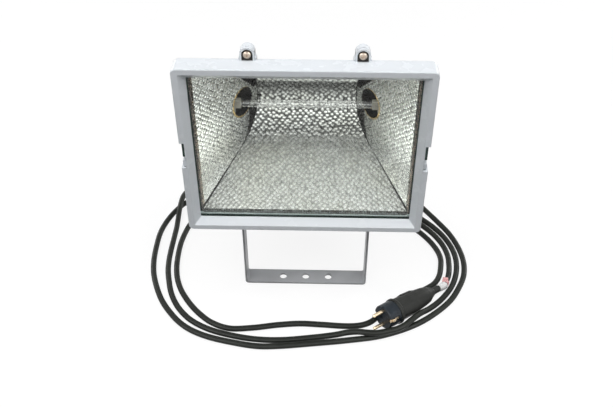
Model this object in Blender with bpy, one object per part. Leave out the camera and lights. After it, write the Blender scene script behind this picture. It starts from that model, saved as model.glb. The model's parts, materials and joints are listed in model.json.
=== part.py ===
"""Halogen floodlight on a U bracket, with a tubular lamp, a cord laid in loops and its plug.

Sizes are in millimetres and become metres where a solid is made. X runs across the lamp, Z is up.
Depths in the head are measured back from the front frame's face, heights from the head's middle.
"""
import math

import bmesh
import bpy
from mathutils import Vector

MM = 0.001

# Position of the head
FRONT_Y = -80.0
GAP = 0.3

# Front frame
FRAME_HALF_X = 144.0
FRAME_HALF_Z = 114.0
FRAME_CORNER = 6.0
FRAME_DEPTH = 22.8
FRAME_WALL = 2.6
BEVEL_IN = 14.7
BEVEL_DEPTH = 8.3
FACE_IN = 7.3
LEDGE_IN = 11.0
LEDGE_REAR = 9.4
NOTCH_IN = 5.8
NOTCH_LOW = -18.0
NOTCH_HIGH = 17.0

# Pivot and middle of the head
PIVOT_Z = 150.0
PIVOT_RISE = FRAME_HALF_Z - 2.0
HEAD_Z = PIVOT_Z + PIVOT_RISE

# Screw hoods on top and their bosses behind
HOOD_X = 62.5
HOOD_RISE = 7.5
HOOD_FRONT = FRAME_DEPTH - 3.3
HOOD_OUTER = 8.1
HOOD_INNER = 6.1
HOOD_WEB_FRONT = FRAME_DEPTH - 1.6
BOSS_REAR = FRAME_DEPTH + 12.2
BOSS_OUTER = 8.4
BOSS_FOOT = 9.9
SCREW_HEAD_R = 4.3
SCREW_SHANK_R = 2.2
SCREW_BORE_R = 2.8

# Glass and gasket
GLASS_IN = 8.0
GLASS_HALF_X = FRAME_HALF_X - GLASS_IN
GLASS_HALF_Z = FRAME_HALF_Z - GLASS_IN
GLASS_FRONT = LEDGE_REAR + GAP
GLASS_THICK = 4.0
GASKET_FRONT = GLASS_FRONT + GLASS_THICK + GAP
RIM_FRONT = 18.0
GASKET_REAR = RIM_FRONT - GAP
GASKET_IN = 10.6
GASKET_WIDE = 17.0
EAR_EDGE = 2.0
EAR_THICK = 4.5
EAR_OUT = FRAME_HALF_X - EAR_EDGE
EAR_IN = EAR_OUT - EAR_THICK
EAR_LOW = -5.0
CLIP_X = 74.0
CLIP_WIDE = 14.0
CLIP_THICK = 0.8

# Housing
RIM_IN = 10.8
RIM_WALL = 2.6
FLANGE_FRONT = FRAME_DEPTH + 0.4
FLANGE_REAR = FLANGE_FRONT + 4.0
FLANGE_STEP = 1.5
NOTCH_LUG_EDGE = 1.7
NOTCH_LUG_THICK = 3.3
NOTCH_LUG_HIGH = -10.0
HOUSING_WALL = 2.6
HOUSING_REAR = 133.0
SHELL_LOW = 40.0 - FRAME_HALF_Z
SHELL_HIGH = FRAME_HALF_Z - 66.0
FIN_REAR = HOUSING_REAR + 10.0
FIN_THICK = 3.0

# Reflector
SHEET = 0.7
REFLECTOR_FRONT = RIM_FRONT
REFLECTOR_LIP = 1.7
SIDE_LIP = 1.3
LIP_Z = FRAME_HALF_Z - RIM_IN - RIM_WALL - 3.0 * GAP
LIP_X = FRAME_HALF_X - RIM_IN - RIM_WALL - GAP
REFLECTOR_HALF_Z = LIP_Z - REFLECTOR_LIP
REFLECTOR_HALF_X = LIP_X - SIDE_LIP
REAR_SPACE = 6.0
CURVE_R = 72.0
CURVE_N = HOUSING_REAR - REAR_SPACE - CURVE_R
CURVE_Z = FRAME_HALF_Z - 33.0 - CURVE_R
PANEL_REAR_X = FRAME_HALF_X - 81.8
PANEL_REAR_N = CURVE_N + CURVE_R
LAMP_HOLE_R = 19.0

# Lamp
LAMP_N = PANEL_REAR_N - 27.0
LAMP_Z = CURVE_Z
TUBE_R = 5.0
TUBE_BORE = 4.0
HOLDER_LONG = 20.0
HOLDER_OUT = FRAME_HALF_X - 35.0
HOLDER_IN = HOLDER_OUT - HOLDER_LONG
CAP_LONG = 13.0
CAP_SEAT = 5.5
CAP_OUT = HOLDER_IN + CAP_SEAT
CAP_IN = CAP_OUT - CAP_LONG
HOLDER_HALF_N = 11.0
HOLDER_HALF_Z = 12.0
HOLDER_MOUTH_R = 7.0
HOLDER_BORE_R = 3.6
HOLDER_STEP = HOLDER_IN + 7.0
CONTACT_TIP = HOLDER_IN + 3.8
CONTACT_FLANGE = HOLDER_STEP + 1.8
SPRING_R = 2.7
SPRING_WIRE = 0.35
SPRING_TURNS = 4

# Bracket and pivot
STRAP_N = 66.0
STRAP_WIDE = 25.5
STRAP_THICK = 2.6
BRACKET_HALF_X = 85.0
BEND_R = 5.0
BASE_HOLE_R = 5.0
BASE_HOLE_PITCH = 32.0
PIVOT_HOLE_R = 4.3
PIVOT_BOLT_R = 4.0
LUG_R = 12.0
LUG_IN = BRACKET_HALF_X - 15.0

# Hinge of the frame
HINGE_N = FRAME_DEPTH - 2.3
HINGE_DROP = 4.5
HINGE_X = 50.0
HINGE_PIN_R = 2.0

# Terminal box, gland and leads
BOX_HALF_X = 42.0
BOX_TALL = 48.0
BOX_LOW = SHELL_LOW + 2.0
BOX_HIGH = BOX_LOW + BOX_TALL
BOX_FRONT = HOUSING_REAR + GAP
BOX_REAR = HOUSING_REAR + 19.0
BOX_WALL = 2.4
COVER_REAR = BOX_REAR + 5.0
COVER_SCREW_REAR = COVER_REAR + 3.0
COVER_SCREW_X = 36.0
COVER_SCREW_Z = 18.0
GLAND_N = HOUSING_REAR + 9.6
GLAND_LOW = HEAD_Z + BOX_LOW - 8.0
NUT_LOW = GLAND_LOW - 14.0
BOOT_LOW = NUT_LOW - 28.3
LEAD_HOLE_X = 32.0
LEAD_HOLE_Z = BOX_HIGH - 8.0
LEAD_R = 1.3

# Cord and plug
CORD_R = 4.0
CORD_Z = 4.0
LOOP_POINTS = 32
PLUG_TIP = (91.0, -117.3, 22.4)
PLUG_TURN = math.radians(39.0)
PLUG_TILT = math.radians(6.0)
PLUG_FACE = 17.0
PLUG_COLLAR = 36.0
PLUG_NECK = 110.0
PLUG_END = 121.0
SLEEVE_RUN = 13.0
SLEEVE_LONG = 10.5
PIN_PITCH = 19.0
PIN_R = 2.4
PLUG_ROLL = math.radians(15.0)
GRIP_TURN = math.radians(45.0)


def clear_scene():
    for item in list(bpy.data.objects):
        bpy.data.objects.remove(item, do_unlink=True)


def make_material(name, colour, roughness, metallic=0.0, alpha=1.0):
    material = bpy.data.materials.new(name)
    material.use_nodes = True
    shader = material.node_tree.nodes["Principled BSDF"]
    shader.inputs["Base Color"].default_value = (colour[0], colour[1], colour[2], 1.0)
    shader.inputs["Roughness"].default_value = roughness
    shader.inputs["Metallic"].default_value = metallic
    shader.inputs["Alpha"].default_value = alpha
    return material


def place(x, depth, height):
    """A point of the head, from its depth and its height above the middle."""
    return (x, FRONT_Y + depth, HEAD_Z + height)


def shade(item, sharp=0.6):
    """Smooth shading with the edges above the angle kept sharp."""
    mesh = item.data
    form = bmesh.new()
    form.from_mesh(mesh)
    bmesh.ops.recalc_face_normals(form, faces=form.faces)
    for face in form.faces:
        face.smooth = True
    for edge in form.edges:
        edge.smooth = len(edge.link_faces) == 2 and edge.calc_face_angle(0.0) < sharp
    form.to_mesh(mesh)
    form.free()


def solid(name, points, faces, material=None, pivot=(0.0, 0.0, 0.0)):
    """A mesh object from points in millimetres, with its origin at the pivot."""
    origin = Vector(pivot)
    mesh = bpy.data.meshes.new(name)
    mesh.from_pydata([(Vector(point) - origin) * MM for point in points], [], faces)
    item = bpy.data.objects.new(name, mesh)
    item.location = origin * MM
    bpy.context.scene.collection.objects.link(item)
    if material:
        mesh.materials.append(material)
    shade(item)
    return item


def join_rings(rings, closed=False):
    """Points and faces of a skin over rings of equal count."""
    count = len(rings[0])
    points = [point for ring in rings for point in ring]
    faces = []
    spans = len(rings) if closed else len(rings) - 1
    for i in range(spans):
        j = (i + 1) % len(rings)
        for k in range(count):
            m = (k + 1) % count
            faces.append((i * count + k, i * count + m, j * count + m, j * count + k))
    if not closed:
        last = (len(rings) - 1) * count
        faces.append(tuple(reversed(range(count))))
        faces.append(tuple(last + k for k in range(count)))
    return points, faces


def rounded(half_x, low, high, radius, steps=4):
    """Outline of a rectangle with round corners, in x and height."""
    corners = ((half_x, high, 0), (-half_x, high, 90), (-half_x, low, 180), (half_x, low, 270))
    outline = []
    for x, z, start in corners:
        cx = x - math.copysign(radius, x)
        cz = z - radius if z == high else z + radius
        for k in range(steps + 1):
            angle = math.radians(start + 90.0 * k / steps)
            outline.append((cx + radius * math.cos(angle), cz + radius * math.sin(angle)))
    return outline


def arc(cx, cy, radius, start, end, steps):
    """Points on an arc, angles in degrees."""
    points = []
    for k in range(steps + 1):
        angle = math.radians(start + (end - start) * k / steps)
        points.append((cx + radius * math.cos(angle), cy + radius * math.sin(angle)))
    return points


def prism(name, outline, along, low, high, material=None):
    """An outline pushed along x, depth or height; the outline gives the other two in that order."""
    rings = []
    for level in (low, high):
        if along == "x":
            rings.append([place(level, u, v) for u, v in outline])
        elif along == "depth":
            rings.append([place(u, level, v) for u, v in outline])
        else:
            rings.append([(u, v, level) for u, v in outline])
    points, faces = join_rings(rings)
    return solid(name, points, faces, material)


def box(name, x, depth, height, material=None):
    """A block of the head between two values each way."""
    outline = ((x[0], height[0]), (x[1], height[0]), (x[1], height[1]), (x[0], height[1]))
    return prism(name, outline, "depth", depth[0], depth[1], material)


def turned(name, profile, start, axis, material=None, sides=24, closed=False, pivot=(0.0, 0.0, 0.0)):
    """A turned solid; the profile gives distance along the axis and radius."""
    direction = Vector(axis).normalized()
    side = direction.orthogonal().normalized()
    other = direction.cross(side)
    rings = []
    for distance, radius in profile:
        centre = Vector(start) + direction * distance
        ring = []
        for k in range(sides):
            angle = 2.0 * math.pi * (k + 0.5) / sides
            ring.append(centre + (side * math.cos(angle) + other * math.sin(angle)) * radius)
        rings.append(ring)
    points, faces = join_rings(rings, closed)
    return solid(name, points, faces, material, pivot)


def combine(target, tool, operation):
    """Joins, cuts or trims the target with a tool that is not shown."""
    modifier = target.modifiers.new(tool.name, "BOOLEAN")
    modifier.operation = operation
    modifier.solver = "EXACT"
    modifier.object = tool
    tool.hide_render = True
    tool.display_type = "WIRE"


def add(target, tool):
    combine(target, tool, "UNION")


def cut(target, tool):
    combine(target, tool, "DIFFERENCE")


def smooth_path(knots, closed=False, steps=12):
    """A smooth curve through the knots, as many points."""
    points = [Vector(knot) for knot in knots]
    ends = [points[0] * 2.0 - points[1]] + points + [points[-1] * 2.0 - points[-2]]
    path = []
    for i in range(1, len(ends) - 2):
        p0, p1, p2, p3 = ends[i - 1], ends[i], ends[i + 1], ends[i + 2]
        t1 = math.sqrt(max((p1 - p0).length, 1e-6))
        t2 = math.sqrt(max((p2 - p1).length, 1e-6))
        t3 = math.sqrt(max((p3 - p2).length, 1e-6))
        m1 = (p2 - p1) + ((p1 - p0) / t1 - (p2 - p0) / (t1 + t2)) * t2
        m2 = (p2 - p1) + ((p3 - p2) / t3 - (p3 - p1) / (t2 + t3)) * t2
        for k in range(steps):
            t = k / steps
            a = (2 * t ** 3 - 3 * t ** 2 + 1)
            b = (t ** 3 - 2 * t ** 2 + t)
            c = (-2 * t ** 3 + 3 * t ** 2)
            d = (t ** 3 - t ** 2)
            path.append(p1 * a + m1 * b + p2 * c + m2 * d)
    path.append(points[-1])
    return path


def path_length(path):
    return sum((b - a).length for a, b in zip(path, path[1:]))


def spaced(path, count):
    """Points at even steps along the path, with both its ends."""
    total = path_length(path)
    step = total / (count - 1)
    picked = [path[0]]
    walked = 0.0
    for a, b in zip(path, path[1:]):
        length = (b - a).length
        while length > 0.0 and walked + length >= step * len(picked) and len(picked) < count - 1:
            share = (step * len(picked) - walked) / length
            picked.append(a.lerp(b, share))
        walked += length
    picked.append(path[-1])
    return picked


def tube(name, points, radius, material, resolution):
    """A round tube along the points, with flat ends."""
    data = bpy.data.curves.new(name, "CURVE")
    data.dimensions = "3D"
    data.bevel_depth = radius * MM
    data.bevel_resolution = resolution
    data.use_fill_caps = True
    spline = data.splines.new("POLY")
    spline.points.add(len(points) - 1)
    for entry, point in zip(spline.points, points):
        entry.co = (point[0] * MM, point[1] * MM, point[2] * MM, 1.0)
    spline.use_smooth = True
    data.materials.append(material)
    item = bpy.data.objects.new(name, data)
    bpy.context.scene.collection.objects.link(item)
    return item


def least_gap(path, radius, apart):
    """Smallest clear distance between stretches of the path that are further apart than a length along it."""
    distances = [0.0]
    for a, b in zip(path, path[1:]):
        distances.append(distances[-1] + (b - a).length)
    least = 1e9
    for i in range(len(path)):
        for j in range(i + 1, len(path)):
            if distances[j] - distances[i] > apart:
                least = min(least, (path[i] - path[j]).length)
    return least - 2.0 * radius


# Front frame with its glass

def frame_outline(inset, depth):
    radius = max(FRAME_CORNER - inset, 1.2)
    ring = rounded(FRAME_HALF_X - inset, -FRAME_HALF_Z + inset, FRAME_HALF_Z - inset, radius)
    return [place(x, depth, z) for x, z in ring]


def arch(half, centre, foot, steps=12):
    """Outline of an arch, in x about zero and height."""
    return [(half, foot)] + arc(0.0, centre, half, 0.0, 180.0, steps) + [(-half, foot)]


def shifted(outline, dx):
    return [(x + dx, z) for x, z in outline]


def front_frame(material):
    rim = 1.0
    section = (
        (0.0, FRAME_DEPTH),
        (0.0, rim),
        (rim, 0.0),
        (FACE_IN, 0.0),
        (BEVEL_IN, BEVEL_DEPTH),
        (BEVEL_IN, LEDGE_REAR),
        (LEDGE_IN, LEDGE_REAR),
        (LEDGE_IN, LEDGE_REAR - 2.8),
        (LEDGE_IN - 4.4, FRAME_WALL),
        (FRAME_WALL, FRAME_WALL),
        (FRAME_WALL, FRAME_DEPTH),
    )
    points, faces = join_rings([frame_outline(inset, depth) for inset, depth in section], closed=True)
    frame = solid("front_frame", points, faces, material)
    crest = FRAME_HALF_Z + HOOD_RISE
    hinge_z = -FRAME_HALF_Z - HINGE_DROP
    for side in (-1, 1):
        hood = prism("hood", shifted(arch(HOOD_OUTER, crest, FRAME_HALF_Z - 1.2), side * HOOD_X),
                     "depth", HOOD_FRONT, FRAME_DEPTH)
        add(frame, hood)
        leg = [(HINGE_N - 4.3, -FRAME_HALF_Z + 0.9), (FRAME_DEPTH - 0.4, -FRAME_HALF_Z + 0.9)]
        ear = leg[::-1] + arc(HINGE_N, hinge_z, 4.3, 180.0, 385.0, 12)
        near = side * HINGE_X
        far = side * (HINGE_X + 10.0)
        add(frame, prism("hinge_ear", ear, "x", min(near, far), max(near, far)))
    for side in (-1, 1):
        pocket = prism("hood_pocket", shifted(arch(HOOD_INNER, crest, FRAME_HALF_Z), side * HOOD_X),
                       "depth", HOOD_FRONT - 2.0, HOOD_WEB_FRONT)
        cut(frame, pocket)
        hole = turned("hood_hole", ((0.0, SCREW_BORE_R), (8.0, SCREW_BORE_R)),
                      place(side * HOOD_X, HOOD_FRONT - 1.0, crest), (0, 1, 0), sides=16)
        cut(frame, hole)
        inner = FRAME_HALF_X - NOTCH_IN
        low, high = sorted((side * inner, side * (FRAME_HALF_X + 4.0)))
        cut(frame, box("side_notch", (low, high), (-3.0, FRAME_DEPTH + 3.0), (NOTCH_LOW, NOTCH_HIGH)))
        bore = turned("hinge_bore", ((-2.0, HINGE_PIN_R + GAP), (13.0, HINGE_PIN_R + GAP)),
                      place(side * HINGE_X, HINGE_N, hinge_z), (side, 0, 0), sides=16)
        cut(frame, bore)
    return frame


def cross_recess(screw, centre, direction, reach, depth):
    """Cuts a cross recess into a screw head that faces the direction."""
    axis = Vector(direction)
    for turn in (0.0, 0.5 * math.pi):
        side = axis.orthogonal().normalized()
        other = axis.cross(side)
        wide = side * math.cos(turn) + other * math.sin(turn)
        thin = axis.cross(wide)
        rings = []
        for level, share in ((1.0, 1.0), (-depth, 0.55)):
            ring = []
            for a, b in ((1, 1), (-1, 1), (-1, -1), (1, -1)):
                ring.append(Vector(centre) + axis * level + wide * a * reach * share + thin * b * 0.55)
            rings.append(ring)
        points, faces = join_rings(rings)
        cut(screw, solid("cross_slot", points, faces))


def frame_screw(side_name, side, material):
    crest = FRAME_HALF_Z + HOOD_RISE
    under = HOOD_WEB_FRONT - GAP
    profile = (
        (under - 3.2, 2.2),
        (under - 2.9, 3.4),
        (under - 1.9, SCREW_HEAD_R),
        (under, SCREW_HEAD_R),
        (under, SCREW_SHANK_R),
        (BOSS_REAR - 3.6, SCREW_SHANK_R),
        (BOSS_REAR - 2.8, SCREW_SHANK_R - 0.8),
    )
    screw = turned("frame_screw_" + side_name, profile, place(side * HOOD_X, 0.0, crest), (0, 1, 0), material)
    cross_recess(screw, place(side * HOOD_X, under - 3.2, crest), (0, -1, 0), 2.3, 1.6)
    return screw


def front_glass(material):
    rings = []
    for depth, inset in ((0.0, 0.5), (0.5, 0.0), (GLASS_THICK - 0.5, 0.0), (GLASS_THICK, 0.5)):
        ring = rounded(GLASS_HALF_X - inset, -GLASS_HALF_Z + inset, GLASS_HALF_Z - inset, 3.0, steps=3)
        rings.append([place(x, GLASS_FRONT + depth, z) for x, z in ring])
    points, faces = join_rings(rings)
    return solid("front_glass", points, faces, material)


def glass_gasket(material):
    mid = 0.5 * (GASKET_FRONT + GASKET_REAR)
    section = (
        (GASKET_IN + 0.6, GASKET_FRONT),
        (GASKET_IN, mid),
        (GASKET_IN + 0.6, GASKET_REAR),
        (GASKET_WIDE - 0.6, GASKET_REAR),
        (GASKET_WIDE, mid),
        (GASKET_WIDE - 0.6, GASKET_FRONT),
    )
    rings = []
    for inset, depth in section:
        ring = rounded(FRAME_HALF_X - inset, -FRAME_HALF_Z + inset, FRAME_HALF_Z - inset, 3.0, steps=3)
        rings.append([place(x, depth, z) for x, z in ring])
    points, faces = join_rings(rings, closed=True)
    gasket = solid("glass_gasket", points, faces, material)
    root = FRAME_HALF_X - GASKET_IN - 3.0
    for side in (-1, 1):
        outline = (
            (root, GASKET_FRONT + 0.4),
            (EAR_IN, GASKET_FRONT + 0.4),
            (EAR_IN, 5.0),
            (EAR_OUT, 5.0),
            (EAR_OUT, GASKET_REAR - 0.4),
            (root, GASKET_REAR - 0.4),
        )
        rings = [[place(side * x, n, z) for x, n in outline] for z in (EAR_LOW, NOTCH_HIGH - GAP)]
        points, faces = join_rings(rings)
        add(gasket, solid("ear", points, faces))
    return gasket


def glass_clip(name, x, up, material):
    """A bent strip between the frame's skirt and the back of the glass."""
    skirt = FRAME_HALF_Z - FRAME_WALL - GAP
    reach = FRAME_HALF_Z - GASKET_IN + 0.4
    back = GASKET_FRONT
    outline = (
        (FRAME_WALL + GAP, skirt),
        (FRAME_WALL + GAP, skirt - CLIP_THICK),
        (back, skirt - CLIP_THICK),
        (back, reach),
        (back + CLIP_THICK, reach),
        (back + CLIP_THICK, skirt),
    )
    bent = [(n, up * z) for n, z in outline]
    return prism(name, bent, "x", x - 0.5 * CLIP_WIDE, x + 0.5 * CLIP_WIDE, material)


def hinge_pin(side_name, side, material):
    profile = ((0.5, 1.4), (1.1, HINGE_PIN_R), (18.7, HINGE_PIN_R), (18.7, 3.2), (19.9, 3.2), (20.2, 2.8))
    start = place(side * HINGE_X, HINGE_N, -FRAME_HALF_Z - HINGE_DROP)
    return turned("hinge_pin_" + side_name, profile, start, (side, 0, 0), material, sides=16)


# Housing

def housing_levels():
    """Depth, half width, low and high edge of the cast shell behind its flange."""
    return (
        (FLANGE_REAR, FRAME_HALF_X - 8.0, 10.0 - FRAME_HALF_Z, FRAME_HALF_Z - 10.0),
        (HOUSING_REAR - 73.0, FRAME_HALF_X - 15.0, 17.0 - FRAME_HALF_Z, FRAME_HALF_Z - 21.4),
        (HOUSING_REAR - 33.0, FRAME_HALF_X - 27.0, 28.0 - FRAME_HALF_Z, FRAME_HALF_Z - 44.0),
        (HOUSING_REAR - 7.0, FRAME_HALF_X - 36.0, 35.0 - FRAME_HALF_Z, FRAME_HALF_Z - 59.0),
        (HOUSING_REAR, FRAME_HALF_X - 42.0, SHELL_LOW, SHELL_HIGH),
    )


def shell_ring(depth, half_x, low, high, radius):
    return [place(x, depth, z) for x, z in rounded(half_x, low, high, radius)]


def housing(material):
    rim_x = FRAME_HALF_X - RIM_IN
    rim_z = FRAME_HALF_Z - RIM_IN
    flange_x = FRAME_HALF_X - FLANGE_STEP
    flange_z = FRAME_HALF_Z - FLANGE_STEP
    rings = [
        shell_ring(RIM_FRONT, rim_x, -rim_z, rim_z, 4.0),
        shell_ring(FLANGE_FRONT, rim_x, -rim_z, rim_z, 4.0),
        shell_ring(FLANGE_FRONT, flange_x, -flange_z, flange_z, 5.0),
        shell_ring(FLANGE_REAR, flange_x, -flange_z, flange_z, 5.0),
    ]
    for depth, half_x, low, high in housing_levels():
        rings.append(shell_ring(depth, half_x, low, high, 10.0))
    points, faces = join_rings(rings)
    shell = solid("housing", points, faces, material)

    crest = FRAME_HALF_Z + HOOD_RISE
    hinge_z = -FRAME_HALF_Z - HINGE_DROP
    pivot_z = PIVOT_Z - HEAD_Z
    for side in (-1, 1):
        foot = FRAME_HALF_Z - 29.0
        outline = [(BOSS_FOOT, foot), (BOSS_FOOT, FRAME_HALF_Z + 0.5), (BOSS_OUTER, FRAME_HALF_Z + 3.5)]
        outline += arc(0.0, crest, BOSS_OUTER, 0.0, 180.0, 12)
        outline += [(-BOSS_OUTER, FRAME_HALF_Z + 3.5), (-BOSS_FOOT, FRAME_HALF_Z + 0.5), (-BOSS_FOOT, foot)]
        rings = []
        for depth, share in ((FLANGE_FRONT, 1.0), (BOSS_REAR - 3.0, 1.0), (BOSS_REAR - 0.8, 0.9), (BOSS_REAR, 0.76)):
            ring = []
            for x, z in outline:
                top = crest - 1.0
                height = top + (z - top) * share if z > top else z
                ring.append(place(side * HOOD_X + x * share, depth, height))
            rings.append(ring)
        points, faces = join_rings(rings)
        add(shell, solid("boss", points, faces))

        root = 34.0 - FRAME_HALF_Z
        lug = [(STRAP_N + LUG_R, root), (STRAP_N - LUG_R, root)]
        lug += arc(STRAP_N, pivot_z, LUG_R, 180.0, 360.0, 14)
        low, high = sorted((side * LUG_IN, side * (BRACKET_HALF_X - STRAP_THICK - GAP)))
        add(shell, prism("pivot_lug", lug, "x", low, high))

        knuckle = [(FLANGE_REAR - 0.3, -flange_z + 1.2), (FLANGE_FRONT + 0.3, -flange_z + 1.2)]
        knuckle += [(FLANGE_FRONT + 0.3, -FRAME_HALF_Z - 0.6)]
        knuckle += arc(HINGE_N, hinge_z, 4.0, 80.0, 320.0, 12)
        knuckle += [(FLANGE_REAR - 0.3, -FRAME_HALF_Z - 1.6)]
        low, high = sorted((side * (HINGE_X + 10.4), side * (HINGE_X + 18.4)))
        add(shell, prism("hinge_knuckle", knuckle, "x", low, high))

        edge = FRAME_HALF_X - NOTCH_LUG_EDGE
        low, high = sorted((side * (edge - NOTCH_LUG_THICK), side * edge))
        add(shell, box("notch_lug", (low, high), (4.0, FLANGE_FRONT + 1.0), (NOTCH_LOW + GAP, NOTCH_LUG_HIGH)))

    for count in range(-4, 5):
        x = count * 20.0
        low = BOX_HIGH + 5.0 if abs(x) < BOX_HALF_X + 4.0 else SHELL_LOW + 12.0
        outline = (
            (HOUSING_REAR - 2.0, low),
            (FIN_REAR - 3.0, low),
            (FIN_REAR, low + 3.0),
            (FIN_REAR, SHELL_HIGH - 22.0),
            (HOUSING_REAR - 2.0, SHELL_HIGH - 6.0),
        )
        add(shell, prism("fin", outline, "x", x - 0.5 * FIN_THICK, x + 0.5 * FIN_THICK))

    cavity = [
        shell_ring(RIM_FRONT - 2.0, rim_x - RIM_WALL, -rim_z + RIM_WALL, rim_z - RIM_WALL, 3.0),
        shell_ring(FLANGE_REAR + 10.8, rim_x - RIM_WALL, -rim_z + RIM_WALL + 1.5, rim_z - RIM_WALL - 3.0, 5.0),
    ]
    for depth, half_x, low, high in housing_levels()[1:4]:
        cavity.append(shell_ring(depth, half_x - HOUSING_WALL, low + HOUSING_WALL, high - HOUSING_WALL, 8.0))
    depth, half_x, low, high = housing_levels()[4]
    cavity.append(shell_ring(depth - HOUSING_WALL - 0.4, half_x + 0.5, low + 1.0, high - 1.0, 8.0))
    points, faces = join_rings(cavity)
    cut(shell, solid("cavity", points, faces))

    for side in (-1, 1):
        pillar = box("holder_pillar", sorted((side * (HOLDER_IN + 2.0), side * (HOLDER_OUT - 6.0))),
                     (LAMP_N + HOLDER_HALF_N + 1.9, HOUSING_REAR - 1.0), (LAMP_Z - 7.0, LAMP_Z + 7.0))
        add(shell, pillar)
        bore = turned("boss_bore", ((-2.0, SCREW_BORE_R), (BOSS_REAR - FLANGE_FRONT - 1.2, SCREW_BORE_R)),
                      place(side * HOOD_X, FLANGE_FRONT, crest), (0, 1, 0), sides=16)
        cut(shell, bore)
        bore = turned("pivot_bore", ((LUG_IN - 2.0, PIVOT_HOLE_R), (BRACKET_HALF_X, PIVOT_HOLE_R)),
                      place(0.0, STRAP_N, pivot_z), (side, 0, 0), sides=20)
        cut(shell, bore)
        bore = turned("knuckle_bore", ((8.0, HINGE_PIN_R + GAP), (20.0, HINGE_PIN_R + GAP)),
                      place(side * HINGE_X, HINGE_N, hinge_z), (side, 0, 0), sides=16)
        cut(shell, bore)
        hole = turned("lead_hole", ((-6.0, 2.6), (6.0, 2.6)), place(side * LEAD_HOLE_X, HOUSING_REAR - 1.0, LEAD_HOLE_Z),
                      (0, 1, 0), sides=12)
        cut(shell, hole)
    return shell


# Reflector

def curve_angle(z):
    """Angle on the back curve at which a line from the front edge at that height touches it."""
    dn = REFLECTOR_FRONT - CURVE_N
    dz = z - CURVE_Z
    far = math.hypot(dn, dz)
    return math.degrees(math.atan2(dz, dn)), math.degrees(math.acos(CURVE_R / far))


def back_profile(offset=0.0, steps=20):
    """Depth and height along the main sheet, from the low front edge to the high one."""
    radius = CURVE_R + offset
    angle, spread = curve_angle(-REFLECTOR_HALF_Z)
    start = angle + spread
    angle, spread = curve_angle(REFLECTOR_HALF_Z)
    end = angle - spread
    points = arc(CURVE_N, CURVE_Z, radius, start, end, steps)
    low = math.radians(start)
    high = math.radians(end)
    first = (REFLECTOR_FRONT + offset * math.cos(low), -REFLECTOR_HALF_Z + offset * math.sin(low))
    last = (REFLECTOR_FRONT + offset * math.cos(high), REFLECTOR_HALF_Z + offset * math.sin(high))
    return [first] + points + [last]


def panel_x(depth):
    slope = (REFLECTOR_HALF_X - PANEL_REAR_X) / (PANEL_REAR_N - REFLECTOR_FRONT)
    return REFLECTOR_HALF_X - slope * (depth - REFLECTOR_FRONT)


def reflector_main(material):
    front = back_profile()
    back = back_profile(SHEET)
    outline = [(REFLECTOR_FRONT, -LIP_Z)] + front + [(REFLECTOR_FRONT, LIP_Z)]
    outline += [(REFLECTOR_FRONT + SHEET, LIP_Z)] + back[::-1] + [(REFLECTOR_FRONT + SHEET, -LIP_Z)]
    points = []
    faces = []
    count = len(outline)
    for side in (-1, 1):
        for depth, height in outline:
            x = side * (panel_x(depth) - GAP)
            points.append(place(x, depth, height))
    for k in range(count):
        m = (k + 1) % count
        faces.append((k, m, count + m, count + k))
    half = count // 2
    for k in range(half - 1):
        m = count - 1 - k
        faces.append((k, k + 1, m - 1, m))
        faces.append((count + k, count + m, count + m - 1, count + k + 1))
    sheet = solid("reflector_main", points, faces, material)
    hole = turned("rivet_hole", ((-12.0, 2.0), (8.0, 2.0)), place(1.9 - PANEL_REAR_X, PANEL_REAR_N - 0.1, CURVE_Z - 4.1), (0, 1, 0), sides=12)
    cut(sheet, hole)
    return sheet


def reflector_side(side_name, side, material):
    slope = math.atan2(REFLECTOR_HALF_X - PANEL_REAR_X, PANEL_REAR_N - REFLECTOR_FRONT)
    step = SHEET / math.cos(slope)
    inner = ((LIP_X, REFLECTOR_FRONT), (REFLECTOR_HALF_X, REFLECTOR_FRONT), (PANEL_REAR_X, PANEL_REAR_N))
    outer = ((PANEL_REAR_X + step, PANEL_REAR_N), (panel_x(REFLECTOR_FRONT + SHEET) + step, REFLECTOR_FRONT + SHEET))
    outer += ((LIP_X, REFLECTOR_FRONT + SHEET),)
    section = inner + outer
    edge = REFLECTOR_HALF_Z - 1.0
    rings = [[place(side * x, n, z) for x, n in section] for z in (-edge, edge)]
    points, faces = join_rings(rings)
    panel = solid("reflector_side_" + side_name, points, faces, material)
    edge = REFLECTOR_HALF_Z - 3.5
    trim = [(REFLECTOR_FRONT - 2.0, -edge)] + back_profile(-1.2)[1:-1] + [(REFLECTOR_FRONT - 2.0, edge)]
    ring = [(n, z) for n, z in trim]
    combine(panel, prism("panel_trim", ring, "x", -FRAME_HALF_X, FRAME_HALF_X), "INTERSECT")
    normal = (side * math.cos(slope), math.sin(slope), 0.0)
    centre = place(side * panel_x(LAMP_N), LAMP_N, LAMP_Z + 2.0)
    hole = turned("lamp_hole", ((-6.0, LAMP_HOLE_R), (6.0, LAMP_HOLE_R)), centre, normal, sides=28)
    cut(panel, hole)
    return panel


# Lamp and its holders

def lamp_tube(material):
    end = CAP_IN - GAP
    profile = ((-end, TUBE_R), (end, TUBE_R), (end, TUBE_BORE), (-end, TUBE_BORE))
    tube_body = turned("lamp_tube", profile, place(0.0, LAMP_N, LAMP_Z), (1, 0, 0), material, closed=True)
    nipple = turned("nipple", ((TUBE_BORE + 0.4, 1.7), (TUBE_R + 1.0, 1.3), (TUBE_R + 2.6, 0.7), (TUBE_R + 3.4, 0.3)),
                    place(0.0, LAMP_N, LAMP_Z), (0, 0, 1), sides=12)
    add(tube_body, nipple)
    return tube_body


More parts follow.
